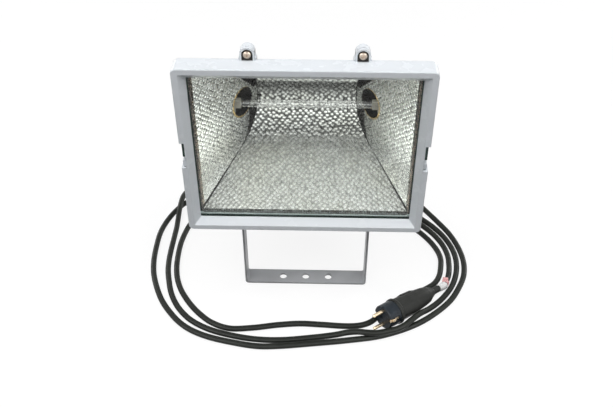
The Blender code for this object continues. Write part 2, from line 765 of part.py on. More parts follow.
def lamp_filament(material):
    end = CAP_IN - 0.6
    wire = 0.6
    disc = TUBE_BORE - 0.5
    profile = [(-end, wire)]
    for count in range(-2, 3):
        centre = count * 27.0
        profile += [(centre - 0.4, wire), (centre - 0.3, disc), (centre + 0.3, disc), (centre + 0.4, wire)]
    profile.append((end, wire))
    return turned("lamp_filament", profile, place(0.0, LAMP_N, LAMP_Z), (1, 0, 0), material, sides=8)


def lamp_cap(side_name, side, material):
    edge = 0.5
    rings = []
    for distance, inset in ((CAP_IN, edge), (CAP_IN + edge, 0.0), (CAP_OUT - edge, 0.0), (CAP_OUT, edge)):
        ring = []
        for n, z in ((1, 1), (-1, 1), (-1, -1), (1, -1)):
            ring.append(place(side * distance, LAMP_N + n * (3.5 - inset), LAMP_Z + z * (5.5 - inset)))
        rings.append(ring)
    points, faces = join_rings(rings)
    cap = solid("lamp_cap_" + side_name, points, faces, material)
    recess = turned("recess", ((CAP_OUT - 2.0, 2.5), (CAP_OUT + 2.0, 2.5)), place(0.0, LAMP_N, LAMP_Z),
                    (side, 0, 0), sides=16)
    cut(cap, recess)
    return cap


def lamp_holder(side_name, side, material):
    edge = 1.0
    rings = []
    levels = ((HOLDER_IN, edge), (HOLDER_IN + edge, 0.0), (HOLDER_OUT - edge, 0.0), (HOLDER_OUT, edge))
    for distance, inset in levels:
        outline = rounded(HOLDER_HALF_N - inset, -HOLDER_HALF_Z + inset, HOLDER_HALF_Z - inset, 2.0, steps=2)
        rings.append([place(side * distance, LAMP_N + n, LAMP_Z + z) for n, z in outline])
    points, faces = join_rings(rings)
    holder = solid("lamp_holder_" + side_name, points, faces, material)
    profile = (
        (HOLDER_IN - 2.0, HOLDER_MOUTH_R),
        (HOLDER_STEP, HOLDER_MOUTH_R),
        (HOLDER_STEP, HOLDER_BORE_R),
        (HOLDER_OUT - 3.0, HOLDER_BORE_R),
    )
    cut(holder, turned("holder_bore", profile, place(0.0, LAMP_N, LAMP_Z), (side, 0, 0)))
    return holder


def holder_bracket(side_name, side, material):
    """A steel saddle that holds the ceramic block against the pillar behind it."""
    sheet = 1.1
    back = LAMP_N + HOLDER_HALF_N + GAP
    low = LAMP_Z - HOLDER_HALF_Z - GAP
    high = LAMP_Z + HOLDER_HALF_Z + GAP
    tip = LAMP_N - 4.0
    outline = (
        (tip, low),
        (back, low),
        (back, high),
        (tip, high),
        (tip, high + sheet),
        (back + sheet + 0.1, high + sheet),
        (back + sheet + 0.1, low - sheet),
        (tip, low - sheet),
    )
    low_x, high_x = sorted((side * (HOLDER_IN + 1.5), side * (HOLDER_OUT - 3.5)))
    return prism("holder_bracket_" + side_name, outline, "x", low_x, high_x, material)


def contact(side_name, side, material):
    profile = (
        (CONTACT_TIP, 1.3),
        (CONTACT_TIP + 0.9, 2.1),
        (CONTACT_FLANGE, 2.1),
        (CONTACT_FLANGE, 3.3),
        (CONTACT_FLANGE + 1.5, 3.3),
        (CONTACT_FLANGE + 1.5, 1.5),
        (CONTACT_FLANGE + 5.7, 1.5),
    )
    start = Vector(place(0.0, LAMP_N, LAMP_Z))
    pivot = start + Vector((side * CONTACT_FLANGE, 0.0, 0.0))
    return turned("contact_" + side_name, profile, start, (side, 0, 0), material, sides=16, pivot=pivot)


def contact_spring(side_name, side, material):
    first = CONTACT_FLANGE + 1.5 + GAP + SPRING_WIRE
    last = HOLDER_OUT - 3.0 - GAP - SPRING_WIRE
    points = []
    count = SPRING_TURNS * 9
    for k in range(count + 1):
        angle = 2.0 * math.pi * SPRING_TURNS * k / count
        x = side * (first + (last - first) * k / count)
        points.append(place(x, LAMP_N + SPRING_R * math.cos(angle), LAMP_Z + SPRING_R * math.sin(angle)))
    return tube("contact_spring_" + side_name, points, SPRING_WIRE, material, 1)


# Terminal box, gland and leads

def terminal_box(material):
    middle = 0.5 * (BOX_LOW + BOX_HIGH)
    outer = rounded(BOX_HALF_X, BOX_LOW, BOX_HIGH, 6.0)
    shell = prism("terminal_box", outer, "depth", BOX_FRONT, BOX_REAR, material)
    inner = rounded(BOX_HALF_X - BOX_WALL, BOX_LOW + BOX_WALL, BOX_HIGH - BOX_WALL, 4.0)
    cut(shell, prism("box_space", inner, "depth", BOX_FRONT + BOX_WALL, BOX_REAR + 2.0))
    for sx in (-1, 1):
        for sz in (-1, 1):
            centre = place(sx * COVER_SCREW_X, 0.0, middle + sz * COVER_SCREW_Z)
            add(shell, turned("post", ((BOX_FRONT + 1.0, 4.2), (BOX_REAR - 0.4, 4.2)), centre, (0, 1, 0), sides=16))
    for sx in (-1, 1):
        for sz in (-1, 1):
            centre = place(sx * COVER_SCREW_X, 0.0, middle + sz * COVER_SCREW_Z)
            cut(shell, turned("post_bore", ((BOX_FRONT + 5.0, 1.9), (BOX_REAR + 2.0, 1.9)), centre, (0, 1, 0), sides=12))
        cut(shell, turned("box_lead_hole", ((-4.0, 2.6), (6.0, 2.6)), place(sx * LEAD_HOLE_X, BOX_FRONT, LEAD_HOLE_Z),
                          (0, 1, 0), sides=12))
    cut(shell, turned("gland_hole", ((-4.0, 6.3), (6.0, 6.3)), place(0.0, GLAND_N, BOX_LOW), (0, 0, 1), sides=20))
    return shell


def terminal_cover(material):
    middle = 0.5 * (BOX_LOW + BOX_HIGH)
    rings = []
    for depth, inset in ((BOX_REAR + GAP, 0.0), (COVER_REAR - 1.5, 0.0), (COVER_REAR, 1.5)):
        outline = rounded(BOX_HALF_X - inset, BOX_LOW + inset, BOX_HIGH - inset, 6.0 - inset)
        rings.append([place(x, depth, z) for x, z in outline])
    points, faces = join_rings(rings)
    cover = solid("terminal_cover", points, faces, material)
    for sx in (-1, 1):
        for sz in (-1, 1):
            centre = place(sx * COVER_SCREW_X, BOX_REAR - 1.0, middle + sz * COVER_SCREW_Z)
            cut(cover, turned("cover_hole", ((0.0, 1.9), (8.0, 1.9)), centre, (0, 1, 0), sides=12))
    return cover


def cover_screw(number, sx, sz, material):
    middle = 0.5 * (BOX_LOW + BOX_HIGH)
    seat = COVER_REAR + GAP
    profile = (
        (BOX_FRONT + 8.0, 1.2),
        (BOX_FRONT + 9.0, 1.6),
        (seat, 1.6),
        (seat, 3.4),
        (COVER_SCREW_REAR - 1.0, 3.4),
        (COVER_SCREW_REAR, 2.4),
    )
    centre = place(sx * COVER_SCREW_X, 0.0, middle + sz * COVER_SCREW_Z)
    screw = turned("cover_screw_" + str(number), profile, centre, (0, 1, 0), material, sides=16)
    top = (centre[0], FRONT_Y + COVER_SCREW_REAR, centre[2])
    cross_recess(screw, top, (0, 1, 0), 1.9, 1.2)
    return screw


def terminal_block(material):
    middle = 0.5 * (BOX_LOW + BOX_HIGH)
    span = (BOX_FRONT + BOX_WALL + GAP, BOX_REAR - 3.0)
    block = box("terminal_block", (-18.0, 18.0), span, (middle - 9.0, middle + 9.0), material)
    for x in (-6.0, 6.0):
        groove = box("groove", (x - 0.8, x + 0.8), (BOX_REAR - 9.0, BOX_REAR), (middle - 12.0, middle + 12.0))
        cut(block, groove)
    return block


def gland_body(material):
    top = HEAD_Z + BOX_LOW
    start = (0.0, FRONT_Y + GLAND_N, 0.0)
    flange = turned("gland_body", ((GLAND_LOW, 9.5), (top - GAP, 9.5)), start, (0, 0, 1), material, sides=6)
    add(flange, turned("neck", ((GLAND_LOW + 3.0, 6.0), (top + 4.0, 6.0)), start, (0, 0, 1), sides=20))
    return flange


def gland_nut(material):
    profile = ((NUT_LOW, 7.6), (NUT_LOW + 1.6, 9.0), (GLAND_LOW - 1.2, 9.0), (GLAND_LOW - GAP, 8.4))
    return turned("gland_nut", profile, (0.0, FRONT_Y + GLAND_N, 0.0), (0, 0, 1), material, sides=12)


def gland_boot(material):
    """Tapered rubber sleeve with three ribs."""
    top = NUT_LOW - GAP
    span = top - BOOT_LOW
    profile = [(BOOT_LOW, 5.0), (BOOT_LOW + 0.5, 5.3)]
    for count in range(3):
        low = BOOT_LOW + 5.0 + count * 6.0
        radius = 5.4 + 1.4 * (low - BOOT_LOW) / span
        profile += [(low, radius), (low + 0.4, radius - 0.8), (low + 1.8, radius - 0.8), (low + 2.2, radius)]
    profile += [(top - 3.0, 7.0), (top, 7.2)]
    return turned("gland_boot", profile, (0.0, FRONT_Y + GLAND_N, 0.0), (0, 0, 1), material, sides=20)


def lead(side_name, side, material):
    knots = [
        (18.4, 142.0, -48.0),
        (23.0, 142.0, -47.0),
        (29.0, 141.0, -38.0),
        (32.0, 137.0, -32.5),
        (32.0, 131.5, -32.0),
        (34.0, 125.0, -31.0),
        (46.0, 122.0, -31.0),
        (65.0, 120.5, -31.0),
        (80.0, 118.5, -28.5),
        (92.0, 114.5, -25.0),
        (100.0, 110.5, -21.5),
        (106.0, 106.5, -16.0),
        (107.5, 104.0, -9.0),
        (107.5, 104.0, LAMP_Z - HOLDER_HALF_Z - GAP),
    ]
    path = smooth_path([place(side * x, n, z) for x, n, z in knots], steps=8)
    return tube("lead_" + side_name, spaced(path, 30), LEAD_R, material, 2)


# Bracket and pivot

def bracket(material):
    half = BRACKET_HALF_X
    inner = half - STRAP_THICK
    top = PIVOT_Z + 20.0
    outline = [(half, top)] + arc(half - BEND_R, BEND_R, BEND_R, 0.0, -90.0, 6)
    outline += arc(-half + BEND_R, BEND_R, BEND_R, -90.0, -180.0, 6) + [(-half, top), (-inner, top)]
    bend = BEND_R - STRAP_THICK
    outline += arc(-half + BEND_R, BEND_R, bend, -180.0, -90.0, 6)
    outline += arc(half - BEND_R, BEND_R, bend, -90.0, 0.0, 6) + [(inner, top)]
    raised = [(x, z - HEAD_Z) for x, z in outline]
    strap = prism("bracket", raised, "depth", STRAP_N - 0.5 * STRAP_WIDE, STRAP_N + 0.5 * STRAP_WIDE, material)
    pivot_z = PIVOT_Z - HEAD_Z
    radius = 0.5 * STRAP_WIDE
    blank = [(STRAP_N - radius, -HEAD_Z - 5.0), (STRAP_N + radius, -HEAD_Z - 5.0)]
    blank += arc(STRAP_N, pivot_z, radius, 0.0, 180.0, 18)
    combine(strap, prism("strap_blank", blank, "x", -half - 10.0, half + 10.0), "INTERSECT")
    for count in (-1, 0, 1):
        centre = (count * BASE_HOLE_PITCH, FRONT_Y + STRAP_N, 0.0)
        cut(strap, turned("base_hole", ((-4.0, BASE_HOLE_R), (8.0, BASE_HOLE_R)), centre, (0, 0, 1), sides=28))
    hole = turned("pivot_hole", ((-half - 4.0, PIVOT_HOLE_R), (half + 4.0, PIVOT_HOLE_R)),
                  place(0.0, STRAP_N, pivot_z), (1, 0, 0), sides=24)
    cut(strap, hole)
    return strap


def pivot_bolt(side_name, side, material):
    seat = BRACKET_HALF_X + 2.2
    start = place(0.0, STRAP_N, PIVOT_Z - HEAD_Z)
    profile = ((LUG_IN + 1.0, PIVOT_BOLT_R - 0.8), (LUG_IN + 1.8, PIVOT_BOLT_R), (seat + 2.0, PIVOT_BOLT_R))
    bolt = turned("pivot_bolt_" + side_name, profile, start, (side, 0, 0), material, sides=20)
    head = turned("hex_head", ((seat, 7.5), (seat + 4.6, 7.5), (seat + 5.3, 6.7)), start, (side, 0, 0), sides=6)
    add(bolt, head)
    return bolt


def pivot_washer(side_name, side, material):
    near = BRACKET_HALF_X + GAP
    far = near + 1.6
    profile = ((near, 9.0), (far, 9.0), (far, PIVOT_HOLE_R), (near, PIVOT_HOLE_R))
    start = place(0.0, STRAP_N, PIVOT_Z - HEAD_Z)
    return turned("pivot_washer_" + side_name, profile, start, (side, 0, 0), material, closed=True)


# Plug

def plug_axis():
    level = math.cos(PLUG_TILT)
    along = Vector((math.cos(PLUG_TURN) * level, math.sin(PLUG_TURN) * level, -math.sin(PLUG_TILT)))
    flat = Vector((math.sin(PLUG_TURN), -math.cos(PLUG_TURN), 0.0))
    up = flat.cross(along).normalized()
    row = up * math.cos(PLUG_ROLL) - flat * math.sin(PLUG_ROLL)
    return along, row, along.cross(row)


def plug_point(distance, along_row=0.0, across=0.0):
    along, row, side = plug_axis()
    return Vector(PLUG_TIP) + along * distance + row * along_row + side * across


def plug_block(name, near, far, row_span, side_span):
    """A block in the plug's own directions."""
    rings = []
    for distance in (near, far):
        corners = (
            (row_span[0], side_span[0]),
            (row_span[1], side_span[0]),
            (row_span[1], side_span[1]),
            (row_span[0], side_span[1]),
        )
        rings.append([plug_point(distance, a, b) for a, b in corners])
    points, faces = join_rings(rings)
    return solid(name, points, faces)


def plug_body(material):
    along = plug_axis()[0]
    profile = (
        (PLUG_COLLAR + GAP, 17.0),
        (PLUG_COLLAR + 0.9, 17.8),
        (PLUG_COLLAR + 3.8, 18.0),
        (PLUG_COLLAR + 5.2, 17.0),
        (PLUG_COLLAR + 6.4, 15.9),
        (62.0, 15.4),
        (76.0, 14.4),
        (90.0, 12.9),
        (98.0, 11.4),
        (104.0, 8.4),
        (PLUG_NECK, 6.0),
        (PLUG_NECK + 0.8, 5.2),
        (PLUG_END - 0.6, 4.9),
        (PLUG_END, 4.5),
    )
    form = turned("plug_body", profile, PLUG_TIP, along, material, sides=28)
    add(form, grip_panel())
    return form


def grip_panel():
    """A raised pad that follows the taper of the plug's upper side."""
    along, row, side = plug_axis()
    outward = (row * math.cos(GRIP_TURN) - side * math.sin(GRIP_TURN)).normalized()
    across = along.cross(outward)
    rings = []
    levels = ((54.0, 5.0, 8.0, 15.6), (57.0, 7.0, 8.0, 16.4), (74.0, 6.4, 8.0, 15.4), (80.0, 5.0, 6.0, 13.9))
    for distance, half, low, high in levels:
        ring = []
        for b, height in ((-half, low), (half, low), (half, high - 1.6), (0.6 * half, high), (-0.6 * half, high),
                          (-half, high - 1.6)):
            ring.append(Vector(PLUG_TIP) + along * distance + outward * height + across * b)
        rings.append(ring)
    points, faces = join_rings(rings)
    return solid("grip", points, faces)


def plug_insert(material):
    along = plug_axis()[0]
    profile = (
        (PLUG_FACE, 15.3),
        (PLUG_FACE + 1.2, 16.4),
        (PLUG_COLLAR - 2.0, 16.6),
        (PLUG_COLLAR, 16.6),
    )
    form = turned("plug_insert", profile, PLUG_TIP, along, material, sides=28)
    for side in (-1, 1):
        low, high = sorted((side * 12.9, side * 20.0))
        cut(form, plug_block("clip_groove", PLUG_FACE - 3.0, PLUG_COLLAR - 3.0, (-3.2, 3.2), (low, high)))
        start = plug_point(0.0, side * 0.5 * PIN_PITCH)
        cut(form, turned("pin_bore", ((PLUG_FACE - 3.0, PIN_R + GAP), (PLUG_FACE + 6.0, PIN_R + GAP)), start, along,
                         sides=16))
    return form


def plug_pin(number, side, material):
    along = plug_axis()[0]
    profile = ((0.0, 1.2), (0.8, 2.0), (1.8, PIN_R), (PLUG_FACE + 5.7, PIN_R))
    start = plug_point(0.0, side * 0.5 * PIN_PITCH)
    return turned("plug_pin_" + str(number), profile, start, along, material, sides=16)


def plug_earth_clip(number, side, material):
    low, high = sorted((side * 13.2, side * 14.2))
    clip = plug_block("plug_earth_clip_" + str(number), PLUG_FACE + 0.5, PLUG_COLLAR - 3.3, (-2.2, 2.2), (low, high))
    clip.data.materials.append(material)
    low, high = sorted((side * 13.5, side * 15.8))
    add(clip, plug_block("clip_bump", PLUG_FACE + 4.0, PLUG_FACE + 9.0, (-2.2, 2.2), (low, high)))
    return clip


# Cord

def joint_point():
    """Where the hanging stretch meets the loops on the floor, with the cord's direction there."""
    return Vector((112.0, 219.0, CORD_Z)), Vector((0.90, -0.436, 0.0)).normalized()


def lead_in_knots():
    """From the rubber sleeve down, over the rear arcs and onto the floor behind them."""
    y = FRONT_Y + GLAND_N
    top = BOOT_LOW - GAP
    joint, along = joint_point()
    return [
        (0.0, y, top),
        (0.0, y, top - 8.0),
        (0.5, y + 2.0, top - 24.0),
        (3.0, y + 8.0, top - 40.0),
        (8.0, y + 20.0, top - 58.0),
        (15.0, y + 39.0, top - 76.0),
        (24.0, y + 64.0, top - 94.0),
        (34.0, y + 91.0, top - 109.0),
        (45.0, y + 116.0, top - 118.5),
        (57.0, y + 139.0, top - 125.5),
        (70.0, y + 155.0, top - 130.5),
        (85.0, y + 163.5, top - 134.2),
        tuple(joint - along * 10.0),
        tuple(joint),
    ]


def loop_knots():
    """Three loops on the floor and the last stretch to the plug, read in the order in which the cord runs."""
    low = CORD_Z
    over = CORD_Z + 9.4
    joint, along = joint_point()
    outer = [
        tuple(joint + along * GAP), tuple(joint + along * 10.0), (137.0, 203.0, low), (158.0, 176.0, low),
        (181.0, 139.0, low), (201.5, 105.0, low), (215.3, 79.3, low), (225.4, 48.0, low), (229.0, 18.0, low),
        (225.6, -9.0, low), (215.2, -34.4, low), (200.0, -59.4, low), (170.0, -88.7, low), (141.5, -107.5, low),
        (101.0, -124.0, low), (60.5, -132.0, low), (10.0, -139.0, low), (-31.0, -144.0, low), (-60.0, -145.0, low),
        (-95.0, -139.0, low), (-128.0, -130.0, low), (-152.0, -118.5, low), (-168.5, -105.5, low),
        (-184.0, -87.5, low), (-196.5, -69.0, low), (-207.0, -47.0, low), (-217.0, -18.0, low), (-222.0, 10.0, low),
        (-223.5, 42.0, low), (-222.5, 72.0, low), (-217.5, 96.0, low), (-209.0, 119.0, low),
    ]
    first_back = [
        (-196.0, 141.0, low), (-176.0, 160.0, low), (-146.0, 172.0, low), (-110.0, 174.0, low), (-72.0, 167.0, low),
        (-30.0, 155.0, low), (15.0, 146.0, low), (60.0, 138.0, low), (103.0, 127.5, low), (138.0, 112.0, low),
        (163.0, 91.0, low),
    ]
    inner = [
        (182.0, 66.0, low), (192.5, 44.0, low), (196.3, 26.0, low), (194.8, 8.0, low), (190.0, -12.0, low),
        (182.0, -26.0, low), (169.5, -36.5, low), (155.5, -46.0, low), (141.0, -54.8, low), (127.5, -63.8, low),
        (115.0, -72.6, low), (106.0, -80.5, low), (100.5, -87.5, low), (95.5, -94.0, low), (89.0, -100.0, low),
        (81.0, -104.3, low), (71.0, -107.0, low), (55.0, -108.0, low), (21.0, -106.0, low), (-6.0, -105.0, low),
        (-35.0, -108.0, low), (-70.0, -114.0, low), (-100.0, -115.5, low),
        (-124.0, -106.0, low), (-140.0, -93.0, low), (-152.5, -79.5, low), (-164.5, -63.0, low), (-174.5, -45.5, low),
        (-182.5, -24.0, low), (-187.0, 0.0, low), (-188.5, 26.0, low), (-188.0, 50.0, low), (-185.0, 72.0, low),
        (-180.0, 92.0, low),
    ]
    second_back = [
        (-171.0, 110.0, low), (-155.0, 126.0, low), (-136.0, 139.0, low + 0.8), (-118.0, 149.5, over - 5.0),
        (-102.0, 159.5, over - 0.6), (-86.0, 170.0, over + 1.0), (-69.0, 179.0, over - 1.0),
        (-51.0, 186.0, over - 5.0), (-32.0, 191.5, low + 0.8), (-8.0, 195.5, low), (20.0, 196.5, low),
        (50.0, 193.5, low), (84.0, 184.0, low), (118.0, 166.0, low), (150.0, 141.0, low), (174.0, 115.5, low),
    ]
    middle = [
        (192.6, 94.2, low), (206.2, 72.2, low), (215.2, 48.0, low), (218.5, 24.0, low), (215.5, -4.0, low),
        (206.0, -31.0, low), (189.5, -55.5, low), (171.5, -74.5, low + 1.6), (154.5, -90.5, low + 7.2),
        (142.4, -104.2, low + 9.8), (134.4, -112.4, low + 10.0), (123.4, -119.4, low + 9.8),
        (109.4, -123.6, low + 9.4), (97.0, -126.8, low + 9.4),
        (85.0, -127.0, low + 9.7), (71.0, -124.2, low + 7.8), (57.0, -122.2, low + 3.6), (42.0, -123.8, low + 0.6),
        (10.0, -129.0, low), (-31.0, -134.0, low), (-65.0, -133.2, low), (-98.0, -127.0, low),
        (-127.0, -117.5, low), (-151.0, -103.5, low), (-165.5, -89.5, low), (-177.0, -73.5, low),
        (-187.0, -52.5, low), (-194.0, -28.0, low), (-198.5, -6.0, low), (-200.3, 16.0, low), (-200.5, 38.0, low),
        (-200.0, 64.0, low), (-199.6, 86.0, low + 0.6), (-199.5, 102.0, low + 4.2), (-199.3, 117.0, over - 1.0),
        (-199.0, 131.0, over + 0.5), (-198.2, 145.0, over + 0.3), (-196.5, 159.0, over - 3.0),
    ]
    third_back = [
        (-191.5, 176.0, low + 1.2), (-181.0, 192.0, low), (-163.0, 205.0, low), (-135.0, 213.5, low),
        (-100.0, 216.0, low), (-64.0, 213.5, low + 0.8), (-42.0, 209.5, over - 5.0), (-24.0, 204.5, over - 0.8),
        (-8.0, 199.5, over + 0.8), (8.0, 193.5, over + 0.8), (24.0, 186.5, over - 0.8), (42.0, 178.0, over - 5.0),
        (64.0, 168.5, low + 0.8), (94.0, 155.0, low), (126.0, 138.0, low), (155.0, 118.5, low), (175.0, 98.5, low),
    ]
    to_plug = [
        (191.5, 77.0, low), (202.6, 54.0, low), (207.5, 31.0, low), (207.2, 14.0, low), (205.6, -1.0, low + 0.4),
        (202.6, -14.0, low + 1.6), (198.6, -24.0, low + 3.0),
    ]
    tail = [tuple(plug_point(PLUG_END + SLEEVE_RUN)), tuple(plug_point(PLUG_END + GAP))]
    return outer + first_back + inner + second_back + middle + third_back + to_plug + tail


def picked_by_bend(path, count, weight):
    """Points along the path that lie closer together where it bends."""
    walked = [0.0]
    for i in range(1, len(path)):
        step = path[i] - path[i - 1]
        turn = 0.0
        if i + 1 < len(path):
            turn = step.angle(path[i + 1] - path[i], 0.0)
        walked.append(walked[-1] + step.length + weight * turn)
    picked = [path[0]]
    for i in range(1, len(path)):
        while len(picked) < count - 1 and walked[i] >= walked[-1] * len(picked) / (count - 1):
            target = walked[-1] * len(picked) / (count - 1)
            share = (target - walked[i - 1]) / max(walked[i] - walked[i - 1], 1e-9)
            picked.append(path[i - 1].lerp(path[i], share))
    picked.append(path[-1])
    return picked


def straight_ends(points, first, last, reach, last_reach):
    """The same points with a short straight run at both ends."""
    start = points[0]
    end = points[-1]
    middle = list(points[1:-1])
    while (middle[0] - start).length < 2.0 * reach:
        middle.pop(0)
    while (middle[-1] - end).length < last_reach + reach:
        middle.pop()
    return [start, start + first * reach] + middle + [end - last * last_reach, end]


def cord(material):
    joint, along = joint_point()
    diameter = 2.0 * CORD_R
    down = smooth_path(lead_in_knots())
    lead_points = straight_ends(picked_by_bend(down, 26, 60.0), Vector((0.0, 0.0, -1.0)), along, diameter,
                                diameter)
    tube("cord_lead", lead_points, CORD_R, material, 2)
    around = smooth_path(loop_knots())
    turns = 3.4
    picked = picked_by_bend(around, int(turns * LOOP_POINTS), 150.0)
    points = straight_ends(picked, along, -plug_axis()[0], diameter, SLEEVE_RUN - GAP)
    tube("cord_loops", points, CORD_R, material, 1)
    total = path_length(down) + path_length(around)
    print("cord length mm", round(total, 1), "points of the loops", len(points))
    fine = spaced(points, 900)
    print("least gap of the loops to themselves mm", round(least_gap(fine, CORD_R, 40.0), 2))
    lead_fine = spaced(lead_points, 120)
    near = min((a - b).length for a in lead_fine[:-14] for b in fine[14:]) - diameter
    print("least gap of the lead to the loops mm", round(near, 2))


def label_sleeve(paper):
    """A blank sleeve round the cord's straight run behind the plug."""
    axis = plug_axis()[0]
    profile = ((0.0, 5.4), (SLEEVE_LONG, 5.4), (SLEEVE_LONG, 4.5), (0.0, 4.5))
    return turned("label_sleeve", profile, plug_point(PLUG_END + 1.2), axis, paper, sides=20, closed=True)


def label_tag(paper):
    """A small blank tag that stands on the sleeve."""
    axis = plug_axis()[0]
    across = axis.cross(Vector((0.0, 0.0, 1.0))).normalized()
    up = across.cross(axis)
    foot = plug_point(PLUG_END + 2.6) + up * (5.4 + GAP)
    outline = ((0.0, 0.0), (7.0, 0.0), (11.0, 3.5), (8.0, 7.5), (0.0, 7.5))
    rings = []
    for level in (-0.4, 0.4):
        rings.append([foot + axis * u + up * v + across * level for u, v in outline])
    points, faces = join_rings(rings)
    return solid("label_tag", points, faces, paper)


def build():
    clear_scene()
    coat = make_material("frame_coat", (0.62, 0.65, 0.69), 0.35)
    cast = make_material("housing_coat", (0.60, 0.63, 0.66), 0.45)
    bracket_coat = make_material("bracket_coat", (0.24, 0.25, 0.26), 0.45)
    steel = make_material("steel", (0.60, 0.59, 0.55), 0.3, metallic=1.0)
    screw_steel = make_material("screw_steel", (0.72, 0.66, 0.52), 0.3, metallic=1.0)
    mirror = make_material("reflector", (0.80, 0.82, 0.80), 0.2, metallic=1.0)
    glass = make_material("glass", (0.85, 0.93, 0.91), 0.05, alpha=0.3)
    quartz = make_material("quartz", (0.93, 0.95, 0.95), 0.05, alpha=0.4)
    ceramic = make_material("ceramic", (0.86, 0.83, 0.76), 0.6)
    tungsten = make_material("tungsten", (0.35, 0.34, 0.33), 0.4, metallic=1.0)
    fibre = make_material("gasket", (0.16, 0.15, 0.13), 0.85)
    spring_steel = make_material("spring_steel", (0.55, 0.54, 0.50), 0.3, metallic=1.0)
    brass = make_material("brass", (0.78, 0.62, 0.34), 0.3, metallic=1.0)
    rubber = make_material("cord_rubber", (0.035, 0.038, 0.034), 0.6)
    boot_rubber = make_material("boot_rubber", (0.03, 0.03, 0.03), 0.7)
    gland = make_material("gland_plastic", (0.05, 0.05, 0.05), 0.5)
    plug_rubber = make_material("plug_rubber", (0.04, 0.042, 0.04), 0.65)
    insert_plastic = make_material("insert_plastic", (0.045, 0.055, 0.065), 0.5)
    sleeving = make_material("lead_sleeving", (0.78, 0.76, 0.70), 0.8)
    paper = make_material("label_paper", (0.92, 0.92, 0.93), 0.6)
    tag_paper = make_material("tag_paper", (0.86, 0.70, 0.70), 0.6)

    front_frame(coat)
    front_glass(glass)
    glass_gasket(fibre)
    number = 1
    for up in (1, -1):
        for x in (-CLIP_X, CLIP_X):
            glass_clip("glass_clip_" + str(number), x, up, spring_steel)
            number += 1
    housing(cast)
    reflector_main(mirror)
    lamp_tube(quartz)
    lamp_filament(tungsten)
    terminal_box(cast)
    terminal_cover(cast)
    terminal_block(ceramic)
    gland_body(gland)
    gland_nut(gland)
    gland_boot(boot_rubber)
    bracket(bracket_coat)
    plug_body(plug_rubber)
    plug_insert(insert_plastic)
    number = 1
    for sx in (-1, 1):
        for sz in (-1, 1):
            cover_screw(number, sx, sz, screw_steel)
            number += 1
    for number, side in ((1, 1), (2, -1)):
        plug_pin(number, side, brass)
        plug_earth_clip(number, side, brass)
    for side_name, side in (("left", -1), ("right", 1)):
        frame_screw(side_name, side, screw_steel)
        hinge_pin(side_name, side, steel)
        reflector_side(side_name, side, mirror)
        lamp_cap(side_name, side, ceramic)
        lamp_holder(side_name, side, ceramic)
        holder_bracket(side_name, side, steel)
        contact(side_name, side, brass)
        contact_spring(side_name, side, spring_steel)
        lead(side_name, side, sleeving)
        pivot_bolt(side_name, side, steel)
        pivot_washer(side_name, side, steel)
    cord(rubber)
    label_sleeve(paper)
    label_tag(tag_paper)


build()
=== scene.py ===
"""Looks of the halogen floodlight: materials, cord, lamp filament, floor, light and camera.

Everything is in metres in the row frame, X along the lamp, Y from the glass to the back, Z up.
"""
import json
import math

import bpy
from mathutils import Matrix, Vector


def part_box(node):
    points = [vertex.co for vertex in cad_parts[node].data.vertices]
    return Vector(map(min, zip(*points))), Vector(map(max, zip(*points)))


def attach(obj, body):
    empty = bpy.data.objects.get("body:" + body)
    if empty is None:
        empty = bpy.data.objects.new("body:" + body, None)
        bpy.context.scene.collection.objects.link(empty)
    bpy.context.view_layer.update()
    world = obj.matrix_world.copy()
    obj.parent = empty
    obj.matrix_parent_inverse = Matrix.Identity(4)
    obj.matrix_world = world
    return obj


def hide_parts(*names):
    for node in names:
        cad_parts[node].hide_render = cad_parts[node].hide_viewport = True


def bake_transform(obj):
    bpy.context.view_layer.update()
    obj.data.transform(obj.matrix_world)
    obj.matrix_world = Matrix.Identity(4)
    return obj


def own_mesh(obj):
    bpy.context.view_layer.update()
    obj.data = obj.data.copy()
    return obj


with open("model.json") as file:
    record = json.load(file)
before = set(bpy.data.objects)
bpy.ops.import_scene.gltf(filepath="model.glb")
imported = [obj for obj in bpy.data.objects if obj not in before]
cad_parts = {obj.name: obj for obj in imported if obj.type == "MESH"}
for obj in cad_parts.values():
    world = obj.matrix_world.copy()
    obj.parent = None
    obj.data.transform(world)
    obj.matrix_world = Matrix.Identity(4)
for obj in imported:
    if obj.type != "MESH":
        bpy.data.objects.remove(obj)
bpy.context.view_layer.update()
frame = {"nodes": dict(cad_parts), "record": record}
nodes = frame["nodes"]

MM = 0.001


# Camera

CAMERA_AT = (0.017845, -0.805994, 0.799962)
CAMERA_RIGHT = (0.99974779, 0.02242419, 0.00122765)
CAMERA_UP = (-0.01532253, 0.64112474, 0.7672837)
CAMERA_AHEAD = (-0.01641864, 0.767109, -0.64130664)
FOCAL_PIXELS = 782.3023
PHOTO_WIDTH = 613.0
SENSOR = 36.0


def add_camera():
    data = bpy.data.cameras.new("camera")
    data.sensor_width = SENSOR
    data.sensor_fit = "HORIZONTAL"
    data.lens = SENSOR * FOCAL_PIXELS / PHOTO_WIDTH
    data.clip_start = 0.01
    data.clip_end = 100.0
    item = bpy.data.objects.new("camera", data)
    bpy.context.scene.collection.objects.link(item)
    turn = Matrix((CAMERA_RIGHT, CAMERA_UP, [-v for v in CAMERA_AHEAD])).transposed()
    item.matrix_world = Matrix.Translation(CAMERA_AT) @ turn.to_4x4()
    bpy.context.scene.camera = item


# Node helpers

EDGE_SAMPLES = 4


